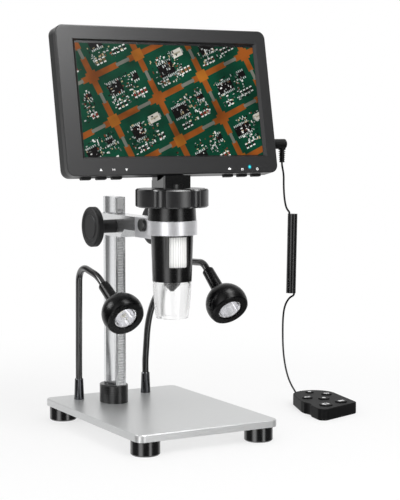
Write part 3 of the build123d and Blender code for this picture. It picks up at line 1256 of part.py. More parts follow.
def handset_key(x, y, dia):
    under = HANDSET_HEIGHT - HANDSET_TOP - KEY_LIFT
    r = dia / 2
    cap = bar_z(x, y, under, HANDSET_HEIGHT + HANDSET_KEY_STANDS, r)
    cap = fillet(cap.edges().group_by(Axis.Z)[-1], KEY_EDGE)
    cap += bar_z(x, y, under - KEY_FLANGE_THICK, under, r + KEY_FLANGE)
    stem = HANDSET_BOARD_Z + HANDSET_BOARD_THICK + KEY_TRAVEL + KEY_REST_GAP
    return cap + bar_z(x, y, stem, under - KEY_FLANGE_THICK, HANDSET_STEM_DIA / 2)


# ---------------------------------------------------------------- cord
def cord_plug():
    """The right-angled plug, its contact pin and its ribbed strain relief."""
    side = COLUMN_X + MONITOR_WIDTH / 2
    body = bar_x(side + GAP, PLUG_END_X, AXIS_Y, AXIS_Z, PLUG_DIA / 2)
    body = chamfer(body.edges().filter_by(GeomType.CIRCLE), PLUG_EDGE)
    top = (RELIEF_X, AXIS_Y, AXIS_Z)
    end = (RELIEF_X, AXIS_Y, RELIEF_BOTTOM)
    relief = rod(top, end, RELIEF_TOP_DIA / 2, RELIEF_END_DIA / 2)
    for n in range(RELIEF_RIBS):
        z = RELIEF_BOTTOM + RELIEF_LENGTH * (n + 0.7) / (RELIEF_RIBS + 1)
        cut = ring(RELIEF_END_DIA / 2 - 0.2, RELIEF_TOP_DIA, z, z + RELIEF_RIB)
        relief -= Pos(RELIEF_X, AXIS_Y, 0) * cut
    pin = bar_x(side + GAP - PLUG_PIN_LENGTH, side + GAP, AXIS_Y, AXIS_Z, PLUG_PIN_DIA / 2)
    return body + relief + pin


def off_sleeve(end, side, out):
    """A point beside the in-line sleeve's axis, and out of its end face by a distance."""
    along = (Vector(*CORD_SLEEVE_END) - Vector(*CORD_SLEEVE_TOP)).normalized()
    across = Vector(-along.Z, 0, along.X)
    return tuple(Vector(*end) + across * side + along * out)


def upper_route():
    top = [(*OUTLET_DRAWN, RELIEF_BOTTOM - down) for down in (0, SLEEVE_LEAD)]
    leads = [off_sleeve(CORD_SLEEVE_TOP, -CORD_OFF_AXIS, out) for out in (-SLEEVE_LEAD, 0)]
    return [*top, *UPPER_ROUTE, *leads]


def lower_route():
    leads = [off_sleeve(CORD_SLEEVE_END, CORD_OFF_AXIS, out) for out in (0, SLEEVE_LEAD)]
    return [*leads, *LOWER_ROUTE, CORD_ENTRY]


def cord_upper():
    return tube(upper_route(), CORD_DIA / 2)


def cord_lower():
    return tube(lower_route(), CORD_DIA / 2)


def cord_sleeve():
    """The black barrel in the cord, flat at both ends."""
    return rod(CORD_SLEEVE_TOP, CORD_SLEEVE_END, CORD_SLEEVE_DIA / 2)


# ---------------------------------------------------------------- all nodes
def nodes():
    parts = {
        "base_plate": base_plate(),
        "rubber_feet": rubber_feet(),
        "base_screws": base_screws(),
        "column": column(),
        "gear_rack": gear_rack(),
        "column_collar": column_collar(),
        "lamp_ferrules": lamp_ferrules(),
        "power_box": power_box(),
        "carriage_block": carriage_block(),
        "ring_clamp": ring_clamp(),
        "clamp_screw": clamp_screw(),
        "shaft_bushes": shaft_bushes(),
        "pinion_shaft": pinion_shaft(),
        "knob_left": knob(-1),
        "knob_right": knob(1),
        "head_shell": head_shell(),
        "focus_wheel": focus_wheel(),
        "focus_barrel": focus_barrel(),
        "core_tube": core_tube(),
        "lens_cell": lens_cell(),
        "lens_glass": lens_glass(),
        "sensor_board": sensor_board(),
        "led_ring": led_ring(),
        "light_hood": light_hood(),
        "neck_block": neck_block(),
        "hinge_pin": hinge_pin(),
        "front_bezel": front_bezel(),
        "rear_shell": rear_shell(),
        "screen_panel": screen_panel(),
        "main_board": main_board(),
        "key_boards": key_boards(),
        "battery": battery(),
        "case_screws": case_screws(),
        "gooseneck_left": left_gooseneck(),
        "gooseneck_right": right_gooseneck(),
        "handset_base": CORD_AT * handset_base(),
        "handset_cover": CORD_AT * handset_cover(),
        "handset_board": CORD_AT * handset_board(),
        "cord_plug": cord_plug(),
        "cord_upper": CORD_AT * cord_upper(),
        "cord_sleeve": CORD_AT * cord_sleeve(),
        "cord_lower": CORD_AT * cord_lower(),
    }
    for n, x in enumerate(key_places()):
        parts[f"monitor_key_{n + 1}"] = monitor_key(x)
    for name, x, y, dia in HANDSET_KEYS:
        parts[name] = CORD_AT * handset_key(x, y, dia)
    lamps = (("left", LEFT_LAMP_AT, LEFT_LAMP_DIP), ("right", RIGHT_LAMP_AT, RIGHT_LAMP_DIP))
    for side, ball, dip in lamps:
        place = lamp_frame(ball, dip)
        parts[f"lamp_shell_{side}"] = place * lamp_shell()
        parts[f"lamp_reflector_{side}"] = place * lamp_reflector()
        parts[f"lamp_lens_{side}"] = place * lamp_lens()
    return parts


def main():
    os.makedirs("parts", exist_ok=True)
    for name, shape in nodes().items():
        pieces = shape if isinstance(shape, list) else [shape]
        solids = [solid for piece in pieces for solid in piece.solids()]
        export_step(Compound(children=solids), f"parts/{name}.step")
    for name, route in (("cord_upper", upper_route()), ("cord_lower", lower_route())):
        print(name, "bend radii, mm:", [round(r, 1) for r in route_radii(route)])


main()
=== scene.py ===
# %% [markdown]
# # A desk microscope in its finishes
# The object is a digital microscope: a seven inch monitor tilts on a focusing camera head, the
# head rides a rack-and-pinion stand on a metal plate, two gooseneck lamps light the plate, and a
# wired handset lies beside it. Its solids come from a CAD model, one object for each part, each
# already in its place. This lesson gives them their finishes, and adds what CAD leaves out: ribs
# on the goosenecks, a soft cord, printed marks, and a picture on the screen. Sizes of the object
# are in millimetres and are multiplied by MM; the room around it is in metres.

# %% Load the frame
import random
from math import cos, pi, radians, sin, tan

import bmesh
import bpy
from mathutils import Matrix, Vector


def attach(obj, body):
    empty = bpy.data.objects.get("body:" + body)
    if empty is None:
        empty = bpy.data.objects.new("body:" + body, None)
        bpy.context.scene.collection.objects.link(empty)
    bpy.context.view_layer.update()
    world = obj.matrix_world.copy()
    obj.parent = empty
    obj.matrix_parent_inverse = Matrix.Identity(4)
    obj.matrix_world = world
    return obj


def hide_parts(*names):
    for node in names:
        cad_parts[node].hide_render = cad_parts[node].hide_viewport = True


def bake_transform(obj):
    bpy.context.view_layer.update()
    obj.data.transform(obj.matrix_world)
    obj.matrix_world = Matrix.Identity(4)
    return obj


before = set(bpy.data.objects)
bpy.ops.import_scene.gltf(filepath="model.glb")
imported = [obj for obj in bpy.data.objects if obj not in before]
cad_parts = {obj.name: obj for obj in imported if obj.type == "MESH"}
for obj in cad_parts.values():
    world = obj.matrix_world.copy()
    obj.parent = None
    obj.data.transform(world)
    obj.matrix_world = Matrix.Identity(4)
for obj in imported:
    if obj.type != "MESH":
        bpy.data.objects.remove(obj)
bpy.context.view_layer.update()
MM = 0.001

# %% [markdown]
# ## The camera
# The view is from the user's left and a little above the plate, far enough away that upright lines
# stay upright. A long lens from a metre away does that. Blender aims a camera along its own -Z
# axis, so `to_track_quat` turns that axis onto the direction of sight.

# %% Camera
FOCAL_PIXELS = 1440
IMAGE_HEIGHT = 500
SENSOR = 36.0
CAMERA_AT = Vector((-0.5241, -0.9904, 0.2405))
CAMERA_TURN = radians(29.6)
CAMERA_DIP = radians(5.03)

camera = bpy.data.objects.new("camera", bpy.data.cameras.new("camera"))
camera.data.sensor_width = SENSOR
camera.data.lens = FOCAL_PIXELS * SENSOR / IMAGE_HEIGHT
sight = Vector((
    sin(CAMERA_TURN) * cos(CAMERA_DIP), cos(CAMERA_TURN) * cos(CAMERA_DIP), -sin(CAMERA_DIP),
))
camera.location = CAMERA_AT
camera.rotation_euler = sight.to_track_quat("-Z", "Y").to_euler()
camera.data.clip_start = 0.01
bpy.context.collection.objects.link(camera)
bpy.context.scene.camera = camera
print("lens", round(camera.data.lens, 1), "mm")

# %% [markdown]
# ## Small tools for nodes and meshes
# Every material and every Geometry Nodes tree below is made of nodes, so one function adds a node
# and joins it up: plain values go onto its sockets, and sockets of other nodes are linked. Colours
# are written as sRGB hex, as a paint chart or an image editor shows them, and turned into the
# linear values that Blender works in.

# %% Tools
def add(tree, kind, links=None, **settings):
    """Adds one node: settings are its properties, links its inputs, each a value or a socket."""
    node = tree.nodes.new(kind)
    for name, value in settings.items():
        setattr(node, name, value)
    for name, value in (links or {}).items():
        socket = node.inputs[name]
        if isinstance(value, bpy.types.NodeSocket):
            tree.links.new(value, socket)
        else:
            socket.default_value = value
    return node


def linear(code):
    """An sRGB hex colour as linear red, green, blue and alpha."""
    channels = [int(code[i : i + 2], 16) / 255 for i in (1, 3, 5)]
    return [c / 12.92 if c <= 0.04045 else ((c + 0.055) / 1.055) ** 2.4 for c in channels] + [1.0]


def mesh_object(name, vertices, faces, material=None):
    """A mesh object from points in millimetres, with its place in its mesh."""
    mesh = bpy.data.meshes.new(name)
    mesh.from_pydata([Vector(v) * MM for v in vertices], [], faces)
    mesh.validate()
    if material:
        mesh.materials.append(material)
    thing = bpy.data.objects.new(name, mesh)
    bpy.context.collection.objects.link(thing)
    return thing


def as_mesh(thing, name):
    """The evaluated object as a plain mesh object in the same place."""
    graph = bpy.context.evaluated_depsgraph_get()
    mesh = bpy.data.meshes.new_from_object(thing.evaluated_get(graph))
    mesh.name = name
    made = bpy.data.objects.new(name, mesh)
    bpy.context.collection.objects.link(made)
    bpy.data.objects.remove(thing)
    return made


# %% [markdown]
# ## Trees that make geometry
# Ribs on a hose and parts on a circuit board repeat by a rule, so Geometry Nodes make them. Each
# tree has named inputs for its sizes. A modifier keeps an input's value under the input's
# identifier, a short code such as `Socket_2`, and not under its name. The result is turned into a
# plain mesh at once, which every later step can read.

# %% Tools for Geometry Nodes
INPUT_TYPES = {float: "NodeSocketFloat", int: "NodeSocketInt", tuple: "NodeSocketVector"}


def start_tree(name, inputs):
    """A tree with a geometry input and the named inputs, and its group input node."""
    tree = bpy.data.node_groups.new(name, "GeometryNodeTree")
    tree.interface.new_socket("Geometry", in_out="OUTPUT", socket_type="NodeSocketGeometry")
    tree.interface.new_socket("Geometry", in_out="INPUT", socket_type="NodeSocketGeometry")
    for title, value in inputs.items():
        tree.interface.new_socket(title, in_out="INPUT", socket_type=INPUT_TYPES[type(value)])
    return tree, add(tree, "NodeGroupInput")


def end_tree(tree, geometry, material):
    """Turns instances into real faces, gives them the material and closes the tree."""
    real = add(tree, "GeometryNodeRealizeInstances", {"Geometry": geometry})
    painted = add(tree, "GeometryNodeSetMaterial",
                  {"Geometry": real.outputs["Geometry"], "Material": material})
    add(tree, "NodeGroupOutput", {"Geometry": painted.outputs["Geometry"]})


def grow(thing, tree, inputs, name):
    """Runs a tree on an object with these inputs and keeps the result as a plain mesh."""
    modifier = thing.modifiers.new(name, "NODES")
    modifier.node_group = tree
    for item in tree.interface.items_tree:
        if item.in_out == "INPUT" and item.name in inputs:
            modifier[item.identifier] = inputs[item.name]
    made = as_mesh(thing, name)
    print(name, "faces:", len(made.data.polygons))
    return made


# %% [markdown]
# ## The cord of the handset
# A thin round PVC lead leaves the plug's strain relief, runs through a rigid black barrel and hangs
# down to the handset. It is one fixed length of something soft, so its line is a smooth spline
# through the air, and not a chain of straight runs. A spline of low order stays close to its
# points. The upper stretch moves with the monitor's stand. The lower one is held by the barrel
# above and the handset below, and is a plain mesh tube fixed to neither part.

# %% Cord
CORD = 1.5
CURVE_ORDER, STEPS_PER_POINT, CORD_ROUNDNESS = 3, 12, 4
UPPER_ROUTE = [
    (84.45, -47.95, 210.3), (84.45, -47.95, 208.9), (84.8, -48.0, 206.6), (86.2, -48.0, 200.6),
    (86.1, -48.0, 192.0), (86.8, -48.0, 182.5), (88.3, -48.0, 175.6), (90.3, -48.0, 172.6),
    (91.63, -48.0, 171.46), (91.6, -48.0, 170.06),
]
LOWER_ROUTE = [
    (96.4, -48.0, 107.64), (96.37, -48.0, 106.24), (95.2, -48.0, 105.2), (92.8, -47.9, 104.4),
    (90.4, -47.4, 101.6), (89.0, -46.5, 98.0), (88.8, -44.8, 93.0), (91.2, -40.0, 85.0),
    (96.3, -32.0, 74.5), (103.3, -21.5, 62.9), (112.9, -8.0, 50.4), (125.3, 8.0, 36.6),
    (137.9, 23.0, 24.7), (148.6, 34.0, 15.5), (154.0, 38.3, 10.9), (156.6, 39.4, 7.6),
    (158.6, 35.7, 5.2),
]


def spline_curve(name, route):
    """A curve object whose NURBS spline has the route's points as its control points."""
    curve = bpy.data.curves.new(name, "CURVE")
    curve.dimensions = "3D"
    spline = curve.splines.new("NURBS")
    spline.points.add(len(route) - 1)
    for point, place in zip(spline.points, route):
        point.co = (*(Vector(place) * MM), 1.0)
    spline.order_u = CURVE_ORDER
    spline.use_endpoint_u = True
    curve.resolution_u = STEPS_PER_POINT
    curve.bevel_resolution = CORD_ROUNDNESS
    thing = bpy.data.objects.new(name, curve)
    bpy.context.collection.objects.link(thing)
    return thing


def centreline(thing):
    """The points along a curve object, and their length."""
    points = [v.co.copy() for v in bpy.data.meshes.new_from_object(thing).vertices]
    return points, sum((b - a).length for a, b in zip(points, points[1:]))


upper = spline_curve("handset_cord_upper", UPPER_ROUTE)
lower_spline = spline_curve("lower_spline", LOWER_ROUTE)
upper_line, upper_length = centreline(upper)
lower_line, lower_length = centreline(lower_spline)
for cord in (upper, lower_spline):
    cord.data.bevel_depth = CORD / 2 * MM
    cord.data.use_fill_caps = True
lower = as_mesh(lower_spline, "handset_cord_lower")
lower.data.shade_smooth()
print("cord lengths in mm:", round(upper_length / MM, 1), round(lower_length / MM, 1))

# %% [markdown]
# ## How a finish is made
# Each finish starts from one shader with typical values for the real material, and gets its detail
# from noise on Object coordinates. The size of the grains is given in real millimetres. Where the
# real ones are too fine to show, they are drawn coarser, and the text says so. The same noise can
# tint the colour, vary the roughness and raise a bump, which is how scratches and moulding texture
# behave: they change all three at once. Noise seldom leaves the middle of its range, so that
# middle is spread over the whole detail. The plain colour and roughness stay below the pattern,
# for a program that can't read it.

# %% Finish helpers
NOISE_RANGE = (0.3, 0.7)


def finish(name, colour, roughness, **sockets):
    """A material with one Principled shader. Other sockets go by name, with _ for a space."""
    material = bpy.data.materials.new(name)
    material.use_nodes = True
    shader = material.node_tree.nodes["Principled BSDF"]
    shader.inputs["Base Color"].default_value = linear(colour)
    shader.inputs["Roughness"].default_value = roughness
    for socket, value in sockets.items():
        shader.inputs[socket.replace("_", " ")].default_value = value
    return material


def grains(tree, size, stretch=(1, 1, 1)):
    """Noise with grains of a size in millimetres, made longer along the axes by stretch."""
    place = add(tree, "ShaderNodeTexCoord")
    scale = [1 / (size * MM * s) for s in stretch]
    mapped = add(tree, "ShaderNodeMapping", {"Vector": place.outputs["Object"], "Scale": scale})
    noise = add(tree, "ShaderNodeTexNoise", {"Vector": mapped.outputs["Vector"], "Scale": 1.0})
    return noise.outputs["Fac"]


def detail(material, pattern, colours=None, roughness=None, bump=0.0, depth=0.02):
    """Drives the shader's colour, roughness and bump by one pattern; depth is in millimetres."""
    tree = material.node_tree
    shader = tree.nodes["Principled BSDF"]
    if colours:
        ramp = add(tree, "ShaderNodeValToRGB", {"Fac": pattern})
        for stop, place, colour in zip(ramp.color_ramp.elements, NOISE_RANGE, colours):
            stop.position = place
            stop.color = linear(colour)
        tree.links.new(ramp.outputs["Color"], shader.inputs["Base Color"])
    if roughness:
        varied = add(tree, "ShaderNodeMapRange", {
            "Value": pattern, "From Min": NOISE_RANGE[0], "From Max": NOISE_RANGE[1],
            "To Min": roughness[0], "To Max": roughness[1],
        })
        tree.links.new(varied.outputs["Result"], shader.inputs["Roughness"])
    if bump:
        raised = add(tree, "ShaderNodeBump",
                     {"Height": pattern, "Strength": bump, "Distance": depth * MM})
        tree.links.new(raised.outputs["Normal"], shader.inputs["Normal"])
    return material


def grained(name, colour, roughness, tints=None, spread=None, *, size, stretch=(1, 1, 1),
            bump=0.0, depth=0.02, **sockets):
    """A finish with grains, between two tints and over a spread of roughness."""
    material = finish(name, colour, roughness, **sockets)
    return detail(material, grains(material.node_tree, size, stretch), tints, spread, bump, depth)


# %% [markdown]
# ## Metals
# The plate is stainless sheet, brushed along its width. The rest of the stand is aluminium in
# three finishes. The column is an extrusion with fine lines along its length from the die, the
# carriage is milled and lightly blasted, and the clamp ring is turned, so its lines run round it.
# The rack, shaft and screws are steel. The lamp sockets are black chrome, a dark mirror plating,
# and the dishes of the lamps are plastic under a thin film of evaporated aluminium. Real brushing
# is a tenth of a millimetre wide, too fine to show from here, so lines are drawn a few times
# wider.

# %% Metal finishes
brushed_plate = grained(
    "brushed_stainless_sheet", "#CECFCF", 0.36, ("#CACBCB", "#D3D4D4"), (0.32, 0.40), size=0.35,
    stretch=(60, 1, 1), bump=0.12, Metallic=0.6)
extruded_column = grained(
    "extruded_aluminium", "#E2E3E5", 0.2, ("#DDDEE0", "#E8E9EA"), (0.16, 0.24), size=0.3,
    stretch=(1, 1, 80), bump=0.08, Metallic=0.85)
milled_carriage = grained(
    "milled_aluminium", "#E4E5E6", 0.22, ("#E1E2E3", "#E8E8E9"), (0.2, 0.26), size=0.25,
    stretch=(1, 30, 1), bump=0.02, Metallic=0.9)
turned_ring = grained(
    "turned_aluminium", "#DCDCDF", 0.32, ("#D8D8DC", "#E2E2E4"), (0.29, 0.36), size=0.3,
    stretch=(80, 80, 1), bump=0.03, Metallic=0.62)
rack_steel = grained(
    "milled_rack_steel", "#DEDFDF", 0.4, ("#D8D9D9", "#E4E4E5"), (0.36, 0.45), size=0.2,
    stretch=(12, 1, 1), bump=0.05, Metallic=0.4)
zinc_screws = grained(
    "zinc_plated_steel", "#A9ABAE", 0.32, ("#A0A2A5", "#B2B4B7"), (0.28, 0.4), size=0.4,
    Metallic=1.0)
black_chrome = grained(
    "black_chrome", "#58595C", 0.12, ("#535457", "#5D5E61"), (0.1, 0.15), size=2.0, Metallic=1.0)
reflector_chrome = grained(
    "vacuum_metallised_plastic", "#EDEDEF", 0.08, ("#E4E4E6", "#F4F4F5"), (0.06, 0.12), size=1.6,
    Metallic=1.0)
print("metals made:", len(bpy.data.materials))

# %% [markdown]
# ## Black plastics
# Most black parts are moulded ABS. The camera head, the barrel on the cord and the lamp shells
# come from a polished mould: they have no grain, only a slight waviness a few millimetres across.
# The collar, the wheel, the knobs, the monitor's back and the handset have the grain of a
# spark-eroded mould, about a third of a millimetre wide. It spreads highlights and turns deep
# black into dark grey. The neck is the one black piece of metal: its anodised skin is the hardest
# and most mirror-like of the blacks.

# %% Black finishes
polished_black = grained(
    "polished_black_abs", "#050506", 0.25, None, (0.22, 0.28), size=3.0, Specular_IOR_Level=0.6)
lamp_black = grained(
    "gloss_black_abs", "#020203", 0.3, None, (0.25, 0.31), size=3.0, Specular_IOR_Level=0.22)
anodised_black = grained(
    "black_anodised_aluminium", "#040405", 0.1, None, (0.08, 0.12), size=0.4,
    Specular_IOR_Level=1.0, IOR=1.7)
satin_black = grained(
    "satin_black_abs", "#0B0B0C", 0.28, ("#09090A", "#0E0E0F"), (0.25, 0.31), size=0.4, bump=0.05,
    Specular_IOR_Level=0.75)
wheel_black = grained(
    "moulded_wheel_abs", "#1A1A1B", 0.3, ("#171718", "#1E1E1F"), (0.27, 0.33), size=0.4, bump=0.05,
    Specular_IOR_Level=0.9)
knob_black = grained(
    "spark_eroded_black_abs", "#202021", 0.5, ("#1D1D1E", "#242425"), (0.46, 0.56), size=0.35,
    bump=0.2, Specular_IOR_Level=0.3)
case_black = grained(
    "textured_black_abs", "#101011", 0.36, ("#0E0E0F", "#131314"), (0.33, 0.4), size=0.3, bump=0.1,
    Specular_IOR_Level=0.3)
handset_top = grained(
    "handset_textured_abs", "#0D0D0E", 0.55, ("#0B0B0C", "#101011"), (0.5, 0.6), size=0.3,
    bump=0.15, Specular_IOR_Level=0.12)
print("with the blacks:", len(bpy.data.materials))

# %% [markdown]
# ## Rubber, silicone and PVC
# The feet are rubber from a polished mould, so they are as glossy as the head. The keys of the
# handset are silicone and the cord is PVC, both with a dull sheen. The thin PVC skin of a
# gooseneck is stretched over its steel hose, which makes it shine.

# %% Soft finishes
foot_rubber = grained(
    "moulded_rubber", "#070708", 0.2, ("#060607", "#0A0A0B"), (0.18, 0.23), size=0.5, bump=0.03,
    Specular_IOR_Level=0.9)
key_silicone = grained(
    "silicone_keys", "#111112", 0.55, ("#0F0F10", "#141415"), (0.5, 0.6), size=0.4, bump=0.1,
    Specular_IOR_Level=0.15)
cord_pvc = grained(
    "pvc_cord_jacket", "#060607", 0.42, ("#040405", "#090909"), (0.38, 0.48), size=0.6, bump=0.1,
    Specular_IOR_Level=0.25)
gooseneck_skin = grained(
    "gooseneck_pvc_sleeve", "#050506", 0.16, ("#040405", "#070708"), (0.14, 0.2), size=0.5,
    bump=0.03, Specular_IOR_Level=1.0)
print("with the soft ones:", len(bpy.data.materials))

# %% [markdown]
# ## Finishes that follow a shape
# The monitor's front is one moulding with two surfaces: a grey satin face, and a slightly duller
# wall that starts just behind it, whose colour is painted darker as painted shade. How far forward
# a point lies, along the way that the leaning face looks, tells the two apart.

# %% The monitor's face and wall
LEAN = radians(11.2)
FACE_NORMAL = (0.0, -cos(LEAN), sin(LEAN))
WALL_DEPTH, FACE_DEPTH = 2.0 * MM, 0.8 * MM

bezel_grey = finish("fine_textured_grey_abs", "#1A1A1B", 0.3, Specular_IOR_Level=0.7)
tree = bezel_grey.node_tree
forward = add(tree, "ShaderNodeVectorMath", {
    0: add(tree, "ShaderNodeTexCoord").outputs["Object"], 1: FACE_NORMAL,
}, operation="DOT_PRODUCT")
face_at = max(Vector(v.co).dot(FACE_NORMAL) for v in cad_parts["front_bezel"].data.vertices)
wall_painted_shade = add(tree, "ShaderNodeMapRange", {
    "Value": forward.outputs["Value"],
    "From Min": face_at - WALL_DEPTH, "From Max": face_at - FACE_DEPTH,
})
# The wall's darker colour is painted shade, and the wall is a little rougher as well.
detail(bezel_grey, wall_painted_shade.outputs["Result"], ("#0A0A0B", "#1A1A1B"), (0.34, 0.3))
print("the face lies", round(face_at / MM, 1), "mm forward")

# %% [markdown]
# The white focus barrel is ribbed for the thumb, and its grooves are painted greyer: a little dust,
# and painted shade where the grooves lie deeper. A groove is nearer the barrel's axis than a rib,
# so the colour follows the distance from that axis.

# %% The ribbed barrel
BARREL_AXIS = (-16.0 * MM, -54.0 * MM, 0.0)
GROOVE_RADIUS, RIB_RADIUS = 12.85 * MM, 13.25 * MM

white_barrel = finish("white_abs", "#F1F1EF", 0.35)
tree = white_barrel.node_tree
from_axis = add(tree, "ShaderNodeVectorMath", {
    0: add(tree, "ShaderNodeTexCoord").outputs["Object"], 1: BARREL_AXIS,
}, operation="SUBTRACT")
flat = add(tree, "ShaderNodeVectorMath", {0: from_axis.outputs["Vector"], 1: (1, 1, 0)},
           operation="MULTIPLY")
out = add(tree, "ShaderNodeVectorMath", {0: flat.outputs["Vector"]}, operation="LENGTH")
groove_dust_and_shade = add(tree, "ShaderNodeMapRange", {
    "Value": out.outputs["Value"], "From Min": GROOVE_RADIUS, "From Max": RIB_RADIUS,
})
# Greyer in the grooves: a little dust and painted shade. The grooves are rougher as well.
detail(white_barrel, groove_dust_and_shade.outputs["Result"], ("#E2E2E1", "#F6F6F4"), (0.5, 0.34))
print("grooves are", round((RIB_RADIUS - GROOVE_RADIUS) / MM, 2), "mm deep")

# %% [markdown]
# ## Clear parts, boards and battery
# The skirt round the lens is clear acrylic with a faint haze from its mould. Haze spreads light by
# an angle, so the black lens just behind the wall stays sharp and things far behind it melt into
# white. The lamp windows are clearer. The circuit boards are green solder mask on glass fibre, and
# the battery is a pouch of crumpled aluminium foil.

# %% Clear, board and foil finishes
hood_acrylic = grained(
    "hazed_clear_acrylic", "#FEFEFE", 0.13, None, (0.1, 0.16), size=4.0, IOR=1.49,
    Transmission_Weight=1.0)
window_acrylic = grained(
    "clear_acrylic_window", "#FCFCFD", 0.04, None, (0.03, 0.07), size=4.0, IOR=1.49,
    Transmission_Weight=1.0)
lens_crown = grained(
    "coated_optical_glass", "#DDE3EE", 0.02, ("#D5DCEB", "#E6EBF3"), size=3.0, IOR=1.52,
    Transmission_Weight=1.0)
board_green = grained(
    "green_solder_mask", "#1F6A3E", 0.35, ("#1A5F37", "#277546"), (0.3, 0.42), size=0.8, bump=0.1)
foil_battery = grained(
    "aluminium_laminate_pouch", "#5F6469", 0.35, ("#575C61", "#686D72"), (0.3, 0.42), size=3.0,
    bump=0.4, depth=0.3, Metallic=0.7)
print("with the clear ones:", len(bpy.data.materials))

# %% [markdown]
# ## Ink and small lights
# Printed marks are a matt white ink. The small light on the monitor is a cyan lens that is lit
# from behind, brightest in its middle. The phosphor of a lamp's LED glows a little as well.

# %% Ink and lit finishes
def shine(material, colour, strength):
    """Lets a finish give light of its own."""
    shader = material.node_tree.nodes["Principled BSDF"]
    shader.inputs["Emission Color"].default_value = linear(colour)
    shader.inputs["Emission Strength"].default_value = strength
    return material


white_ink = grained("white_pad_print", "#F2F2F2", 0.6, ("#EEEEEE", "#F6F6F6"), size=0.3)
lit_cyan = shine(grained(
    "lit_cyan_lens", "#0A5561", 0.2, ("#094D58", "#0C5E6B"), size=0.8), "#0F7F8E", 0.5)
cyan_heart = shine(grained(
    "cyan_light_heart", "#2FB9C0", 0.2, ("#2AB1B8", "#38C4CA"), size=0.8), "#3FC9CF", 0.7)
led_yellow = shine(grained(
    "led_phosphor", "#EDEAD6", 0.4, ("#E8E4CA", "#F3F0E0"), size=0.5), "#FFFEF6", 0.3)
print("finishes in all:", len(bpy.data.materials))

# %% [markdown]
# ## Finishes on the CAD parts
# A CAD part keeps its own mesh and only gets a material. One table of finishes and part names is
# easier to check than sixty separate lines.

# %% Dress the CAD parts
MONITOR_KEYS = [f"monitor_key_{n}" for n in range(1, 7)]
HANDSET_KEYS = ["zoom_key", "menu_key", "record_key", "ok_key", "photo_key", "power_key"]
DRESS = [
    (brushed_plate, ["base_plate"]),
    (extruded_column, ["column"]),
    (milled_carriage, ["carriage_block"]),
    (turned_ring, ["ring_clamp"]),
    (rack_steel, ["gear_rack", "pinion_shaft"]),
    (zinc_screws, ["base_screws", "shaft_bushes", "hinge_pin", "case_screws"]),
    (black_chrome, ["lamp_ferrules"]),
    (foot_rubber, ["rubber_feet"]),
    (satin_black, ["column_collar", "power_box", "core_tube", "clamp_screw"]),
    (anodised_black, ["neck_block"]),
    (wheel_black, ["focus_wheel"]),
    (polished_black, ["head_shell", "lens_cell", "cord_sleeve", "screen_panel"]),
    (lamp_black, ["lamp_shell_left", "lamp_shell_right"]),
    (knob_black, ["knob_left", "knob_right"]),
    (bezel_grey, ["front_bezel"]),
    (case_black, ["rear_shell", *MONITOR_KEYS]),
    (handset_top, ["handset_cover", "handset_base"]),
    (white_barrel, ["focus_barrel"]),
    (cord_pvc, ["cord_plug"]),
    (key_silicone, HANDSET_KEYS),
    (hood_acrylic, ["light_hood"]),
    (window_acrylic, ["lamp_lens_left", "lamp_lens_right"]),
    (lens_crown, ["lens_glass"]),
    (reflector_chrome, ["lamp_reflector_left", "lamp_reflector_right"]),
    (board_green, ["sensor_board", "led_ring", "main_board", "key_boards", "handset_board"]),
    (foil_battery, ["battery"]),
]
for material, nodes in DRESS:
    for node in nodes:
        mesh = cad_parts[node].data
        mesh.materials.clear()
        mesh.materials.append(material)
print("parts dressed:", sum(len(nodes) for _, nodes in DRESS))

# %% [markdown]
# The two stretches of cord get the same PVC.

# %% Dress the cord
for cord in (upper, lower):
    cord.data.materials.append(cord_pvc)
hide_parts("cord_upper")
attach(upper, "carriage")
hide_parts("cord_lower")
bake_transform(lower)

# %% [markdown]
# ## The goosenecks
# A gooseneck is a steel interlock hose in a thin PVC skin, so it shows fine ribs all along and
# bends in wide round arcs. Each one is drawn as straight runs whose corners a tree rounds off, and
# the ribs are a radius that goes up and down along the line: four rings to a rib are enough. The
# skin bridges the gaps of the hose, so a rib is only a twentieth of a millimetre deep. A ball
# closes the hose inside the lamp's sleeve, where the lamp turns on it.

# %% The tree of a ribbed hose
HOSE = {"Radius": 2.7 * MM, "Rib pitch": 1.6 * MM, "Rib depth": 0.05 * MM}
RINGS_PER_RIB, HOSE_SIDES, STEPS_PER_BEND = 4, 16, 24
BALL_SIDES, BALL_RINGS = 24, 14

tree, given = start_tree("ribbed_hose", {**HOSE, "Ball": (0.0, 0.0, 0.0)})
line = add(tree, "GeometryNodeMeshToCurve", {"Mesh": given.outputs["Geometry"]})
bend = add(tree, "GeometryNodeInputNamedAttribute", {"Name": "bend"}, data_type="FLOAT")
bent = add(tree, "GeometryNodeFilletCurve", {
    "Curve": line.outputs["Curve"], "Count": STEPS_PER_BEND, "Radius": bend.outputs["Attribute"],
}, mode="POLY")
step = add(tree, "ShaderNodeMath", {0: given.outputs["Rib pitch"], 1: float(RINGS_PER_RIB)},
           operation="DIVIDE")
rings = add(tree, "GeometryNodeResampleCurve",
            {"Curve": bent.outputs["Curve"], "Length": step.outputs["Value"]}, mode="LENGTH")
phase = add(tree, "ShaderNodeMath", {
    0: add(tree, "GeometryNodeInputIndex").outputs["Index"], 1: 2 * pi / RINGS_PER_RIB,
}, operation="MULTIPLY")
wave = add(tree, "ShaderNodeMath", {0: phase.outputs["Value"]}, operation="COSINE")
valley = add(tree, "ShaderNodeMath", {
    0: given.outputs["Radius"], 1: given.outputs["Rib depth"],
}, operation="SUBTRACT")
radius = add(tree, "ShaderNodeMapRange", {
    "Value": wave.outputs["Value"], "From Min": -1.0, "From Max": 1.0,
    "To Min": valley.outputs["Value"], "To Max": given.outputs["Radius"],
})
circle = add(tree, "GeometryNodeCurvePrimitiveCircle", {"Resolution": HOSE_SIDES, "Radius": 1.0})
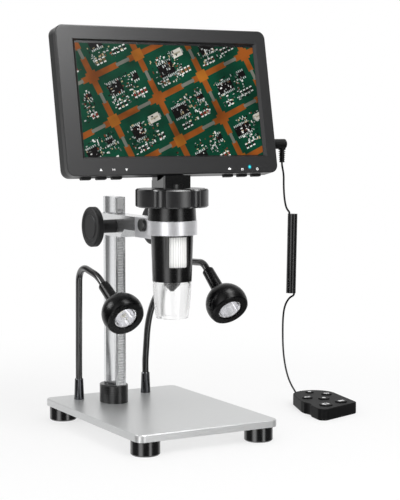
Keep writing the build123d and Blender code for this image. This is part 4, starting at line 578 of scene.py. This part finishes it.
skin = add(tree, "GeometryNodeCurveToMesh", {
    "Curve": rings.outputs["Curve"], "Profile Curve": circle.outputs["Curve"],
    "Scale": radius.outputs["Result"], "Fill Caps": True,
})
ball = add(tree, "GeometryNodeMeshUVSphere",
           {"Segments": BALL_SIDES, "Rings": BALL_RINGS, "Radius": given.outputs["Radius"]})
ball_end = add(tree, "GeometryNodeTransform",
               {"Geometry": ball.outputs["Mesh"], "Translation": given.outputs["Ball"]})
whole = add(tree, "GeometryNodeJoinGeometry", {"Geometry": skin.outputs["Mesh"]})
tree.links.new(ball_end.outputs["Geometry"], whole.inputs["Geometry"])
smooth = add(tree, "GeometryNodeSetShadeSmooth", {"Geometry": whole.outputs["Geometry"]})
end_tree(tree, smooth.outputs["Geometry"], gooseneck_skin)
hose_tree = tree
print("nodes in the hose tree:", len(hose_tree.nodes))

# %% [markdown]
# The hose leaves its socket upright, leans to a crown and comes down into the lamp's sleeve along
# the lamp's own axis. Each corner takes the widest bend that fits: 0.45 of its shorter run.

# %% Two goosenecks
BEND_SHARE = 0.45
PIVOT_BEHIND = 34.0
LEFT_BALL, LEFT_DIP, LEFT_RUN_IN = Vector((-50.5, -40.4, 99.9)), radians(29.5), 15.0
RIGHT_BALL, RIGHT_DIP, RIGHT_RUN_IN = Vector((20.0, -72.9, 106.2)), radians(38.5), 11.0
LEFT_RISE = [(-37.7, 65.0, 19.0), (-37.7, 65.0, 46.5), (-50.5, 35.6, 130.2)]
RIGHT_RISE = [(23.1, 65.0, 19.0), (23.1, 65.0, 37.8), (22.8, 64.5, 44.0), (21.0, 55.5, 84.0),
              (20.0, 12.0, 132.0)]


def gooseneck(side, rise, lamp_ball, dip, run_in):
    """A hose from its socket to the pivot in the lamp's sleeve."""
    back = Vector((0, cos(dip), sin(dip)))
    ends = [lamp_ball + back * (PIVOT_BEHIND + run_in), lamp_ball + back * PIVOT_BEHIND]
    route = [Vector(p) for p in rise] + ends
    bends = [0.0]
    for before, corner, after in zip(route, route[1:], route[2:]):
        runs = corner - before, after - corner
        bends.append(BEND_SHARE * min(r.length for r in runs) / tan(runs[0].angle(runs[1]) / 2))
    chain = mesh_object(f"{side}_route", route, [])
    chain.data.edges.add(len(route) - 1)
    for n, edge in enumerate(chain.data.edges):
        edge.vertices = (n, n + 1)
    attribute = chain.data.attributes.new("bend", "FLOAT", "POINT")
    attribute.data.foreach_set("value", [b * MM for b in bends] + [0.0])
    hose = grow(chain, hose_tree, {**HOSE, "Ball": tuple(route[-1] * MM)}, f"{side}_gooseneck_hose")
    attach(hose, f"lamp_arm_{side}")
    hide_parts(f"gooseneck_{side}")


gooseneck("left", LEFT_RISE, LEFT_BALL, LEFT_DIP, LEFT_RUN_IN)
gooseneck("right", RIGHT_RISE, RIGHT_BALL, RIGHT_DIP, RIGHT_RUN_IN)

# %% [markdown]
# ## The light sources of the lamps
# A white LED is a blue chip under a small dome of silicone with yellow phosphor in it. The dome is
# half a sphere with a flat bottom, closed, on the end of the post in the middle of the dish. Both
# lamps face forward and down, so a lamp's own frame turns by 90 degrees and its dip.

# %% LED domes
DOME_RADIUS, DOME_FOOT = 1.9, -2.2


def lamp_frame(lamp_ball, dip):
    """Turns what is drawn with its front at +Z to face as the lamp does."""
    return Matrix.Translation(lamp_ball * MM) @ Matrix.Rotation(pi / 2 + dip, 4, "X")


for side, lamp_ball, dip in (("left", LEFT_BALL, LEFT_DIP), ("right", RIGHT_BALL, RIGHT_DIP)):
    shape = bmesh.new()
    bmesh.ops.create_uvsphere(shape, u_segments=24, v_segments=12, radius=DOME_RADIUS * MM)
    cut = bmesh.ops.bisect_plane(shape, geom=[*shape.verts, *shape.edges, *shape.faces],
                                 plane_co=(0, 0, 0), plane_no=(0, 0, -1), clear_outer=True)
    rim = [e for e in cut["geom_cut"] if isinstance(e, bmesh.types.BMEdge)]
    bmesh.ops.contextual_create(shape, geom=rim)
    bmesh.ops.recalc_face_normals(shape, faces=shape.faces)
    dome = mesh_object(f"{side}_led_dome", [], [], led_yellow)
    shape.to_mesh(dome.data)
    shape.free()
    dome.data.transform(lamp_frame(lamp_ball, dip) @ Matrix.Translation((0, 0, DOME_FOOT * MM)))
    dome.data.shade_smooth()
    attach(dome, f"lamp_head_{side}")
    print(dome.name, "faces:", len(dome.data.polygons))

# %% [markdown]
# ## The picture on the screen
# The monitor shows a live, enlarged view of a circuit board. The picture is the light of the
# screen's pixels, so its finish is dark glass that gives light in each spot's own colour, and the
# colour is stored on the faces as an attribute. The board here is one of my own layout: a lattice
# of copper bars at a slant, black chips with silver legs, pale connectors, and a scatter of small
# parts. It is drawn flat in the monitor's own frame, and then leant back with the monitor. Slow
# clouds dim and brighten it, as the lamps beside a lens light a board unevenly.

# %% Finish of the lit picture
AXIS = Vector((-16.0, -47.95, 224.5))
CLOUD_SIZE, CLOUD_DIM, CLOUD_BRIGHT = 18.0, 0.5, 1.15
monitor_frame = Matrix.Translation(AXIS * MM) @ Matrix.Rotation(-LEAN, 4, "X")

lit_pixels = finish("lit_lcd_glass", "#030303", 0.25, Specular_IOR_Level=0.12,
                    Emission_Strength=0.92)
tree = lit_pixels.node_tree
tint = add(tree, "ShaderNodeAttribute", attribute_name="tint").outputs["Color"]
cloud = add(tree, "ShaderNodeMapRange", {
    "Value": grains(tree, CLOUD_SIZE), "From Min": NOISE_RANGE[0], "From Max": NOISE_RANGE[1],
    "To Min": CLOUD_DIM, "To Max": CLOUD_BRIGHT,
})
shaded = add(tree, "ShaderNodeVectorMath", {0: tint, "Scale": cloud.outputs["Result"]},
             operation="SCALE")
tree.links.new(shaded.outputs["Vector"], tree.nodes["Principled BSDF"].inputs["Emission Color"])
print("nodes in the lit picture's finish:", len(tree.nodes))

# %% [markdown]
# Every patch of the picture is a very thin closed prism, and each kind stands two hundredths of a
# millimetre in front of the one below, so no two faces lie in one plane. The prisms reach a little
# into the glass. A patch that crosses the picture's edge is clipped to it, one side at a time.

# %% Patches of colour
GLASS_Y, INTO_GLASS, LAYER = -8.8, 0.01, 0.02
PICTURE_LEFT, PICTURE_RIGHT = -72.7, 76.6
PICTURE_LOW, PICTURE_HIGH = -9.8, 73.3
MID_X, MID_Z = (PICTURE_LEFT + PICTURE_RIGHT) / 2, (PICTURE_LOW + PICTURE_HIGH) / 2
SLANT = radians(24)
BOARD, BAR, TAB, PAD, LEG, BODY, CAP = (LAYER + LAYER * n for n in range(7))

corners, patches, tints = [], [], []


def on_picture(p, q):
    """A place on the slanted lattice as x and z on the screen."""
    return (MID_X + p * cos(SLANT) - q * sin(SLANT), MID_Z + p * sin(SLANT) + q * cos(SLANT))


def clipped(outline, margin=0.0):
    """An outline cut off at the picture's four sides."""
    sides = ((0, 1, PICTURE_LEFT + margin), (0, -1, -PICTURE_RIGHT + margin),
             (1, 1, PICTURE_LOW + margin), (1, -1, -PICTURE_HIGH + margin))
    for axis, sign, limit in sides:
        kept = []
        for a, b in zip(outline, outline[1:] + outline[:1]):
            inside_a, inside_b = sign * a[axis] - limit, sign * b[axis] - limit
            if inside_a >= 0:
                kept.append(a)
            if inside_a * inside_b < 0:
                t = inside_a / (inside_a - inside_b)
                kept.append((a[0] + t * (b[0] - a[0]), a[1] + t * (b[1] - a[1])))
        outline = kept
        if not outline:
            return []
    return outline


def patch(outline, height, colour):
    """Adds one flat prism on the glass."""
    outline = clipped(outline)
    count, first = len(outline), len(corners)
    if count < 3:
        return
    for y in (GLASS_Y - height, GLASS_Y + INTO_GLASS):
        corners.extend((x, y, z) for x, z in outline)
    patches.append([first + n for n in range(count)])
    patches.append([first + count + n for n in reversed(range(count))])
    for n in range(count):
        m = (n + 1) % count
        patches.append([first + m, first + n, first + count + n, first + count + m])
    tints.extend([linear(colour)] * (count + 2))


def slanted(p, q, width, height):
    """The corners of a rectangle that lies along the lattice."""
    w, h = width / 2, height / 2
    return [on_picture(p - w, q - h), on_picture(p + w, q - h),
            on_picture(p + w, q + h), on_picture(p - w, q + h)]


# %% [markdown]
# The copper bars run both ways, with grey steel tabs between their stretches and a square pad at
# each crossing. The lattice is a little wider than the picture, and the clip trims it. A strip is
# its middle along and across the lattice from a crossing, its width and height in millimetres, its
# layer and its colour.

# %% Board and copper lattice
CELL_P, CELL_Q = 42.0, 35.0
COPPER, COPPER_LIGHT, TAB_GREY = "#96501B", "#A8651F", "#787970"
CELLS = [(i, j) for i in range(-2, 4) for j in range(-2, 3)]
OFFSET_P, OFFSET_Q = -9.0, 6.0
STRIPS = [(13, 0, 20, 4.4, BAR, COPPER), (28, 0, 12, 2.6, TAB, TAB_GREY),
          (37, 0, 8, 4.4, BAR, COPPER), (0, 9, 4.6, 12, BAR, COPPER),
          (0, 18, 2.6, 8, TAB, TAB_GREY), (0, 27, 4.6, 11, BAR, COPPER)]
PAD_WIDTH, PAD_HEIGHT = 8.4, 8.0

frame_outline = [(PICTURE_LEFT, PICTURE_LOW), (PICTURE_RIGHT, PICTURE_LOW),
                 (PICTURE_RIGHT, PICTURE_HIGH), (PICTURE_LEFT, PICTURE_HIGH)]
patch(frame_outline, BOARD, "#03442F")
for i, j in CELLS:
    p, q = OFFSET_P + i * CELL_P, OFFSET_Q + j * CELL_Q
    for along, across, width, height, layer, colour in STRIPS:
        patch(slanted(p + along, q + across, width, height), layer, colour)
    pad_colour = COPPER_LIGHT if (i + j) % 2 else COPPER
    patch(slanted(p, q, PAD_WIDTH, PAD_HEIGHT), PAD, pad_colour)
print("patches of the lattice:", len(patches))

# %% [markdown]
# Each cell of the lattice gets a chip, two rows of two-ended parts, and a connector or a second
# chip. Three small functions draw them. The random numbers have a fixed seed, so the board is the
# same each time.

# %% Larger parts
SILVER, PALE, NEAR_BLACK, SOLDER = "#C4C8C6", "#E6E2D6", "#0E0C0C", "#9DA3A0"
LEG_PITCH, LEG_WIDTH, LEG_LENGTH, LEG_OUT = 1.5, 0.8, 1.6, 0.7
DOT, DOT_IN = 0.8, 1.3
PART_PITCH, PART_WIDTH, PART_LENGTH, PART_BODY = 3.2, 2.0, 4.2, 2.2
dice = random.Random(5)


def chip(p, q, width, height):
    """A black body with legs along two sides, and a dot at its first leg."""
    legs = int(width / LEG_PITCH)
    for n in range(legs):
        along = p - width / 2 + (n + 0.5) * width / legs
        for side in (-1, 1):
            foot = q + side * (height / 2 + LEG_OUT)
            patch(slanted(along, foot, LEG_WIDTH, LEG_LENGTH), LEG, SILVER)
    patch(slanted(p, q, width, height), BODY, NEAR_BLACK)
    patch(slanted(p - width / 2 + DOT_IN, q + height / 2 - DOT_IN, DOT, DOT), CAP, "#4A4C4B")


def connector(p, q, width, height):
    """A pale housing with a darker slot and solder at its ends."""
    patch(slanted(p, q, width + 2.4, height * 0.5), LEG, SOLDER)
    patch(slanted(p, q, width, height), BODY, PALE)
    patch(slanted(p, q, width * 0.7, height * 0.22), CAP, "#B9B29C")


def resistors(p, q, count, colour):
    """A row of small bodies with a bright metal end on each side."""
    for n in range(count):
        along = p + (n - (count - 1) / 2) * PART_PITCH
        patch(slanted(along, q, PART_WIDTH, PART_LENGTH), LEG, "#F0F0EC")
        patch(slanted(along, q, PART_WIDTH, PART_BODY), BODY, colour)


for i, j in CELLS:
    p, q = OFFSET_P + (i + 0.5) * CELL_P, OFFSET_Q + (j + 0.5) * CELL_Q
    shift = dice.uniform(-4, 4)
    chip(p - 7 + shift, q + dice.uniform(-2, 4), dice.uniform(9, 15), dice.uniform(6, 9.5))
    resistors(p + 9, q - 8, dice.randint(2, 4), dice.choice(["#7C2A1E", "#8E5A34", "#1A1716"]))
    if (i + 2 * j) % 3 == 0:
        connector(p + 10, q + 6, dice.uniform(8, 12), dice.uniform(5, 7))
    else:
        chip(p + 11, q + dice.uniform(4, 7), dice.uniform(5, 7), dice.uniform(3.5, 5))
    resistors(p - 9, q - 10, dice.randint(2, 3), dice.choice(["#6E5B3C", "#1A1716"]))

drawn = mesh_object("screen_board_picture", corners, patches, lit_pixels)
layer = drawn.data.attributes.new("tint", "FLOAT_COLOR", "FACE")
layer.data.foreach_set("color", [channel for colour in tints for channel in colour])
print("faces of the drawn board:", len(patches))

# %% [markdown]
# Between the large parts lie hundreds of tiny ones, which is what makes such a board glitter. A
# tree drops small blocks on chosen regions of the board, along or across the lattice, in random
# sizes, and stores a colour from a short palette on each block. As the blocks become real faces,
# the stored colour goes with them.

# %% The tree of the scattered parts
PALETTE = [(0.0, "#B9BEBB"), (0.2, "#EEEEEA"), (0.36, "#131010"), (0.58, "#5C625E"),
           (0.7, "#BFAE8A"), (0.8, "#7E3A22"), (0.87, "#022A1D")]
SCATTER = {"Density": 0.26 / MM**2, "Largest": (2.1 * MM, 0.16 * MM, 1.2 * MM),
           "Smallest": (0.4 * MM, 0.10 * MM, 0.3 * MM), "Slant": 0.0, "Seed": 3}

tree, given = start_tree("scattered_parts", SCATTER)
drops = add(tree, "GeometryNodeDistributePointsOnFaces", {
    "Mesh": given.outputs["Geometry"], "Density": given.outputs["Density"],
    "Seed": given.outputs["Seed"],
}, distribute_method="RANDOM")
quarter = add(tree, "FunctionNodeRandomValue", {4: 0, 5: 1, "Seed": 11}, data_type="INT")
turn = add(tree, "ShaderNodeMath", {
    0: quarter.outputs[2], 1: pi / 2, 2: given.outputs["Slant"],
}, operation="MULTIPLY_ADD")
axis = add(tree, "ShaderNodeCombineXYZ", {"Y": turn.outputs["Value"]})
facing = add(tree, "FunctionNodeEulerToRotation", {"Euler": axis.outputs["Vector"]})
size = add(tree, "FunctionNodeRandomValue", {
    0: given.outputs["Smallest"], 1: given.outputs["Largest"], "Seed": 12,
}, data_type="FLOAT_VECTOR")
block = add(tree, "GeometryNodeMeshCube", {"Size": (1, 1, 1)})
blocks = add(tree, "GeometryNodeInstanceOnPoints", {
    "Points": drops.outputs["Points"], "Instance": block.outputs["Mesh"],
    "Rotation": facing.outputs["Rotation"], "Scale": size.outputs[0],
})
pick = add(tree, "FunctionNodeRandomValue", {2: 0.0, 3: 1.0, "Seed": 13}, data_type="FLOAT")
ramp = add(tree, "ShaderNodeValToRGB", {"Fac": pick.outputs[1]})
ramp.color_ramp.interpolation = "CONSTANT"
for n, (place, colour) in enumerate(PALETTE):
    stops = ramp.color_ramp.elements
    stop = stops[n] if n < 2 else stops.new(place)
    stop.position = place
    stop.color = linear(colour)
tinted = add(tree, "GeometryNodeStoreNamedAttribute", {
    "Geometry": blocks.outputs["Instances"], "Name": "tint", "Value": ramp.outputs["Color"],
}, data_type="FLOAT_COLOR", domain="INSTANCE")
end_tree(tree, tinted.outputs["Geometry"], lit_pixels)
scatter_tree = tree
print("nodes in the scatter tree:", len(scatter_tree.nodes))

# %% [markdown]
# The regions are rectangles, one in each cell, that take up about three fifths of it both ways, so
# that they stay clear of the copper and of the picture's edge.

# %% Scatter the small parts and join the picture
EDGE_MARGIN = 1.6
REGION_P, REGION_Q = CELL_P * 0.62, CELL_Q * 0.6
spots, regions = [], []
for i, j in CELLS:
    p, q = OFFSET_P + (i + 0.5) * CELL_P, OFFSET_Q + (j + 0.5) * CELL_Q
    shift = dice.uniform(-3, 3)
    region = slanted(p + shift, q + shift / 2, REGION_P, REGION_Q)
    outline = clipped(region, EDGE_MARGIN)
    if len(outline) > 2:
        regions.append([len(spots) + n for n in range(len(outline))])
        spots.extend((x, GLASS_Y - BODY, z) for x, z in outline)
bed = mesh_object("scatter_bed", spots, regions)
small = grow(bed, scatter_tree, {**SCATTER, "Slant": -SLANT}, "screen_small_parts_picture")

for piece in (drawn, small):
    piece.data.transform(monitor_frame)
    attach(piece, "monitor")
print("picture faces:", len(drawn.data.polygons) + len(small.data.polygons))

# %% [markdown]
# ## Printed marks
# The monitor has small white pictograms above its keys, and each key of the handset has one. They
# are pad printed: a film of ink a few hundredths of a millimetre thick. A flat 2D curve fills its
# outer loops and leaves its inner loops open, which suits rings and frames, and its extrusion
# gives the film its thickness. All of them are plain geometric signs.

# %% A printed shape
INK = 0.05


def printed(name, loops, place, material, body):
    """A thin film from closed loops of x and y in millimetres, laid where place puts it."""
    curve = bpy.data.curves.new(name, "CURVE")
    curve.dimensions = "2D"
    curve.fill_mode = "BOTH"
    curve.extrude = INK / 2 * MM
    for loop in loops:
        spline = curve.splines.new("POLY")
        spline.points.add(len(loop) - 1)
        for point, (x, y) in zip(spline.points, loop):
            point.co = (x * MM, y * MM, 0, 1)
        spline.use_cyclic_u = True
    flat = bpy.data.objects.new(name, curve)
    bpy.context.collection.objects.link(flat)
    film = as_mesh(flat, name)
    film.data.transform(place)
    film.data.materials.append(material)
    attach(film, body)


def round_loop(x, y, radius, count=20):
    """Points round a circle."""
    turns = [2 * pi * n / count for n in range(count)]
    return [(x + radius * cos(t), y + radius * sin(t)) for t in turns]


def box_loop(x, y, width, height):
    """The corners of a rectangle about its middle."""
    w, h = width / 2, height / 2
    return [(x - w, y - h), (x + w, y - h), (x + w, y + h), (x - w, y + h)]


# %% [markdown]
# The monitor's signs lie in one plane just in front of its face: two arrows, a frame, a camera, a
# page and a ring. Its light is a dim disc of lit lens with a brighter, smaller one on top.

# %% Signs and the light on the monitor
FRONT_Y = -10.5
UP_SIGN, FRAME_SIGN, DOWN_SIGN = (-61.9, -19.4), (-51.7, -19.5), (-41.5, -19.7)
CAMERA_SIGN, PAGE_SIGN, RING_SIGN = (44.7, -20.5), (55.8, -20.9), (69.0, -20.9)
LIGHT_AT = (62.5, -19.2)

bezel_plane = monitor_frame @ Matrix.Translation((0, (FRONT_Y - INK / 2) * MM, 0))
bezel_plane @= Matrix.Rotation(pi / 2, 4, "X")
x, y = UP_SIGN
signs = [[(x - 1.1, y - 0.9), (x + 1.1, y - 0.9), (x, y + 1.0)]]
x, y = FRAME_SIGN
signs += [box_loop(x - 0.8, y, 0.5, 1.5), box_loop(x + 0.8, y, 0.5, 1.5), box_loop(x, y, 0.5, 0.5)]
x, y = DOWN_SIGN
signs += [[(x - 1.1, y + 0.8), (x, y - 1.1), (x + 1.1, y + 0.8)]]
x, y = CAMERA_SIGN
signs += [box_loop(x, y, 2.4, 1.2), box_loop(x, y + 0.85, 1.0, 0.4)]
x, y = PAGE_SIGN
signs += [box_loop(x, y, 1.9, 1.5), box_loop(x, y, 1.1, 0.7)]
signs += [round_loop(*RING_SIGN, 1.05), round_loop(*RING_SIGN, 0.55)]
printed("monitor_signs", signs, bezel_plane, white_ink, "monitor")

lift = Matrix.Translation((0, 0, INK * MM))
printed("monitor_light", [round_loop(*LIGHT_AT, 1.6)], bezel_plane, lit_cyan, "monitor")
printed("monitor_light_heart", [round_loop(*LIGHT_AT, 0.9)], bezel_plane @ lift, cyan_heart,
        "monitor")

# %% [markdown]
# Each sign on the handset rides on its own key, so it goes down when the key is pressed. The signs
# are turned a little, as the handset lies at a slant.

# %% Signs on the keys of the handset
KEY_TOP = 10.5
SIGN_TURN = radians(12)
key_signs = {
    "zoom_key": ((162.5, 27.4), [round_loop(0, 0, 1.5)]),
    "menu_key": ((147.4, 8.3), [round_loop(0, 0, 1.9), round_loop(0, 0, 1.1),
                                box_loop(3.0, 0, 1.3, 0.9), box_loop(-3.0, 0, 1.3, 0.9)]),
    "record_key": ((170.8, 13.9), [round_loop(0, 0, 2.5), round_loop(0, 0, 1.7),
                                   round_loop(0, 0, 0.8)]),
    "ok_key": ((157.6, -1.4), [round_loop(0, 0, 1.6)]),
    "photo_key": ((143.5, -24.8), [box_loop(0, 0, 6.4, 4.2), round_loop(0, 0, 1.5),
                                   box_loop(0.2, 2.6, 2.2, 0.9)]),
    "power_key": ((162.4, -19.6), [box_loop(0, 0, 6.4, 2.6)]),
}
for key, ((x, y), loops) in key_signs.items():
    place = Matrix.Translation((x * MM, y * MM, (KEY_TOP + INK / 2) * MM))
    place @= Matrix.Rotation(SIGN_TURN, 4, "Z")
    printed(f"{key}_sign", loops, place, white_ink, f"handset_{key}")
print("signs printed:", 1 + len(key_signs))

# %% [markdown]
# ## What gloss and metal see of the room
# Black gloss and bare metal show the room more than their own colour, so the room is laid out for
# them. It is white behind the object and dim on the user's side, and two tall white cards stand in
# the dim part: each draws one upright highlight on a round black piece and one bright band on a
# turned metal one. The cards stop short of the direction that a flat front mirrors, so flat fronts
# stay dark. One ramp round the object holds all of this, in degrees from the front and brightness.
# Far behind the left side hangs a black flag. Its lower edge is at the height where only the
# monitor mirrors it, and it keeps the monitor's side wall black.

# %% The room as a ramp of directions
ROOM_PEAK = 3.0
ROOM = [(-180, 1.0), (-148, 1.0), (-137, 0.12), (-84, 0.08), (-72, 2.4), (-54, 2.4), (-42, 0.06),
        (0, 0.06), (7, 2.6), (18, 2.6), (25, 0.05), (84, 0.10), (112, 0.9), (180, 1.0)]
FLAGGED_ROOM = [(-180, 1.0), (-170, 1.0), (-163, 0.1), *ROOM[2:]]
print("stops of the ramp:", len(ROOM))


def room_light(tree, direction, levels):
    """How bright the room is in a direction, and the parts of that direction."""
    part = add(tree, "ShaderNodeSeparateXYZ", {"Vector": direction})
    front = add(tree, "ShaderNodeMath", {0: part.outputs["Y"], 1: -1.0}, operation="MULTIPLY")
    turn = add(tree, "ShaderNodeMath", {0: part.outputs["X"], 1: front.outputs["Value"]},
               operation="ARCTAN2")
    round_it = add(tree, "ShaderNodeMapRange",
                   {"Value": turn.outputs["Value"], "From Min": -pi, "From Max": pi})
    ramp = add(tree, "ShaderNodeValToRGB", {"Fac": round_it.outputs["Result"]})
    stops = ramp.color_ramp.elements
    for n, (degrees, level) in enumerate(levels):
        stop = stops[n] if n < 2 else stops.new((degrees + 180) / 360)
        stop.position = (degrees + 180) / 360
        stop.color = (*[level / ROOM_PEAK] * 3, 1.0)
    bright = add(tree, "ShaderNodeMath", {0: ramp.outputs["Color"], 1: ROOM_PEAK},
                 operation="MULTIPLY")
    return bright.outputs["Value"], part.outputs


# %% [markdown]
# ## Floor
# The object stands on a plain white floor that fades to the white of the backdrop, so there is no
# horizon line. Its shadow stays, but light. What is mirrored of the floor is the room's ramp
# again, measured round a point a little in front, where high pieces look when they mirror it. The
# feet and the plate's edge see only the floor close by, and there the ramp goes by the direction
# of the mirrored ray, so that they show the tall cards as well.

# %% Floor
FLOOR_SIZE = 6.0
FADE_FROM, FADE_TO, FADE_NEAR = 0.12, 0.55, 0.68
FLOOR_MIDDLE = (0.0, -0.12, 0.0)
NEAR_TO, FAR_FROM = 0.18, 0.24

side = FLOOR_SIZE / MM
floor = mesh_object("floor", [(x, y, 0) for x, y in box_loop(0, 0, side, side)], [(0, 1, 2, 3)])
floor_paint = finish("white_studio_floor", "#FAFAFA", 0.9)
tree = floor_paint.node_tree
place = add(tree, "ShaderNodeTexCoord").outputs["Object"]
distance = add(tree, "ShaderNodeVectorMath", {0: place}, operation="LENGTH").outputs["Value"]
fade = add(tree, "ShaderNodeMapRange", {
    "Value": distance, "From Min": FADE_FROM, "From Max": FADE_TO, "To Min": FADE_NEAR,
}, interpolation_type="SMOOTHSTEP")
white = add(tree, "ShaderNodeEmission", {"Color": (1, 1, 1, 1), "Strength": 1.0})
blend = add(tree, "ShaderNodeMixShader", {
    0: fade.outputs["Result"], 1: tree.nodes["Principled BSDF"].outputs["BSDF"],
    2: white.outputs["Emission"],
})
outward = add(tree, "ShaderNodeVectorMath", {0: place, 1: FLOOR_MIDDLE}, operation="SUBTRACT")
far_room, _ = room_light(tree, outward.outputs["Vector"], ROOM)
back = add(tree, "ShaderNodeNewGeometry").outputs["Incoming"]
ray = add(tree, "ShaderNodeVectorMath", {0: back, 1: (-1, -1, -1)}, operation="MULTIPLY")
near_room, _ = room_light(tree, ray.outputs["Vector"], ROOM)
room = add(tree, "ShaderNodeMapRange", {
    "Value": distance, "From Min": NEAR_TO, "From Max": FAR_FROM,
    "To Min": near_room, "To Max": far_room,
})
mirrored = add(tree, "ShaderNodeEmission",
               {"Color": (1, 1, 1, 1), "Strength": room.outputs["Result"]})
rays = add(tree, "ShaderNodeLightPath")
in_mirror = add(tree, "ShaderNodeMath", {
    0: rays.outputs["Is Glossy Ray"], 1: rays.outputs["Is Transmission Ray"],
}, operation="SUBTRACT", use_clamp=True)
shown = add(tree, "ShaderNodeMixShader", {
    0: in_mirror.outputs["Value"], 1: blend.outputs["Shader"], 2: mirrored.outputs["Emission"],
})
tree.links.new(shown.outputs["Shader"], tree.nodes["Material Output"].inputs["Surface"])
floor.data.materials.append(floor_paint)
print("floor:", FLOOR_SIZE, "m wide, white from", FADE_TO, "m outwards")

# %% [markdown]
# ## World and lamps
# The world gives an even light from everywhere. A camera and clear plastic see it as white, and
# gloss sees the room's ramp, with a lighter ceiling. The left and right lamps stand where the
# cards are and shape the matt surfaces. The top lamp is mirrored too: the monitor leans back, so
# its front catches the edge of that lamp, most at its upper left. Two more boxes light nothing and
# are only mirrored. The sheen box draws the line along the bends of the goosenecks, and the crown
# box draws the edge of the focus wheel and the spots on the crowns of the lamps.

# %% World
WORLD_LEVEL = 0.74
CEILING, CEILING_FROM, CEILING_FULL = 0.5, 0.45, 0.9
FLAG_FROM, FLAG_FULL = -0.024, -0.018

world = bpy.data.worlds.new("studio")
bpy.context.scene.world = world
world.use_nodes = True
tree = world.node_tree
rays = add(tree, "ShaderNodeLightPath")
direction = add(tree, "ShaderNodeTexCoord").outputs["Generated"]
low_room, part = room_light(tree, direction, ROOM)
high_room, _ = room_light(tree, direction, FLAGGED_ROOM)
level_room = add(tree, "ShaderNodeMapRange", {
    "Value": part["Z"], "From Min": FLAG_FROM, "From Max": FLAG_FULL,
    "To Min": low_room, "To Max": high_room,
})
above = add(tree, "ShaderNodeMapRange", {
    "Value": part["Z"], "From Min": CEILING_FROM, "From Max": CEILING_FULL,
}, interpolation_type="SMOOTHSTEP")
mirrored = add(tree, "ShaderNodeMapRange", {
    "Value": above.outputs["Result"], "To Min": level_room.outputs["Result"], "To Max": CEILING,
})
lighting = add(tree, "ShaderNodeMapRange", {
    "Value": rays.outputs["Is Glossy Ray"],
    "To Min": WORLD_LEVEL, "To Max": mirrored.outputs["Result"],
})
seen = add(tree, "ShaderNodeMath",
           {0: rays.outputs["Is Camera Ray"], 1: rays.outputs["Is Transmission Ray"]},
           operation="MAXIMUM")
level = add(tree, "ShaderNodeMapRange", {
    "Value": seen.outputs["Value"], "To Min": lighting.outputs["Result"], "To Max": 1.0,
})
tree.links.new(level.outputs["Result"], tree.nodes["Background"].inputs["Strength"])
tree.nodes["Background"].inputs["Color"].default_value = (1, 1, 1, 1)
print("world level:", WORLD_LEVEL)

# %% [markdown]
# A lamp is a rectangle that faces the object. Its power is worked out from the brightness of its
# face and its size, so a box can be made larger and softer without its highlight getting brighter.

# %% Soft boxes
AIM = Vector((0, 0, 0.16))


def soft_box(name, degrees, distance, height, width, tall, radiance, mirrored=False, lights=True):
    """A box of light at a turn in degrees from the front, which faces the object."""
    light = bpy.data.lights.new(name, "AREA")
    light.shape = "RECTANGLE"
    light.size, light.size_y = width, tall
    light.energy = radiance * pi * width * tall
    turn = radians(degrees)
    place = Vector((distance * sin(turn), -distance * cos(turn), height))
    thing = bpy.data.objects.new(name, light)
    thing.location = place
    thing.rotation_euler = (AIM - place).to_track_quat("-Z", "Y").to_euler()
    thing.visible_camera = False
    thing.visible_glossy = mirrored
    thing.visible_diffuse = lights
    bpy.context.collection.objects.link(thing)
    print(name, "at", [round(v, 2) for v in place], "m,", round(light.energy, 1), "W")


soft_box("left_box", -57, distance=1.2, height=0.35, width=0.5, tall=1.0, radiance=1.4)
soft_box("right_box", 12, distance=1.2, height=0.42, width=0.42, tall=1.0, radiance=1.2)
soft_box("top_box", 9, distance=0.78, height=0.84, width=0.38, tall=0.4, radiance=7.5,
         mirrored=True)
soft_box("sheen_box", -116, distance=0.7, height=0.55, width=0.35, tall=0.3, radiance=10.0,
         mirrored=True, lights=False)
soft_box("crown_box", 25, distance=0.3, height=0.9, width=0.35, tall=0.35, radiance=10.0,
         mirrored=True, lights=False)

bpy.context.scene.view_settings.view_transform = "Standard"
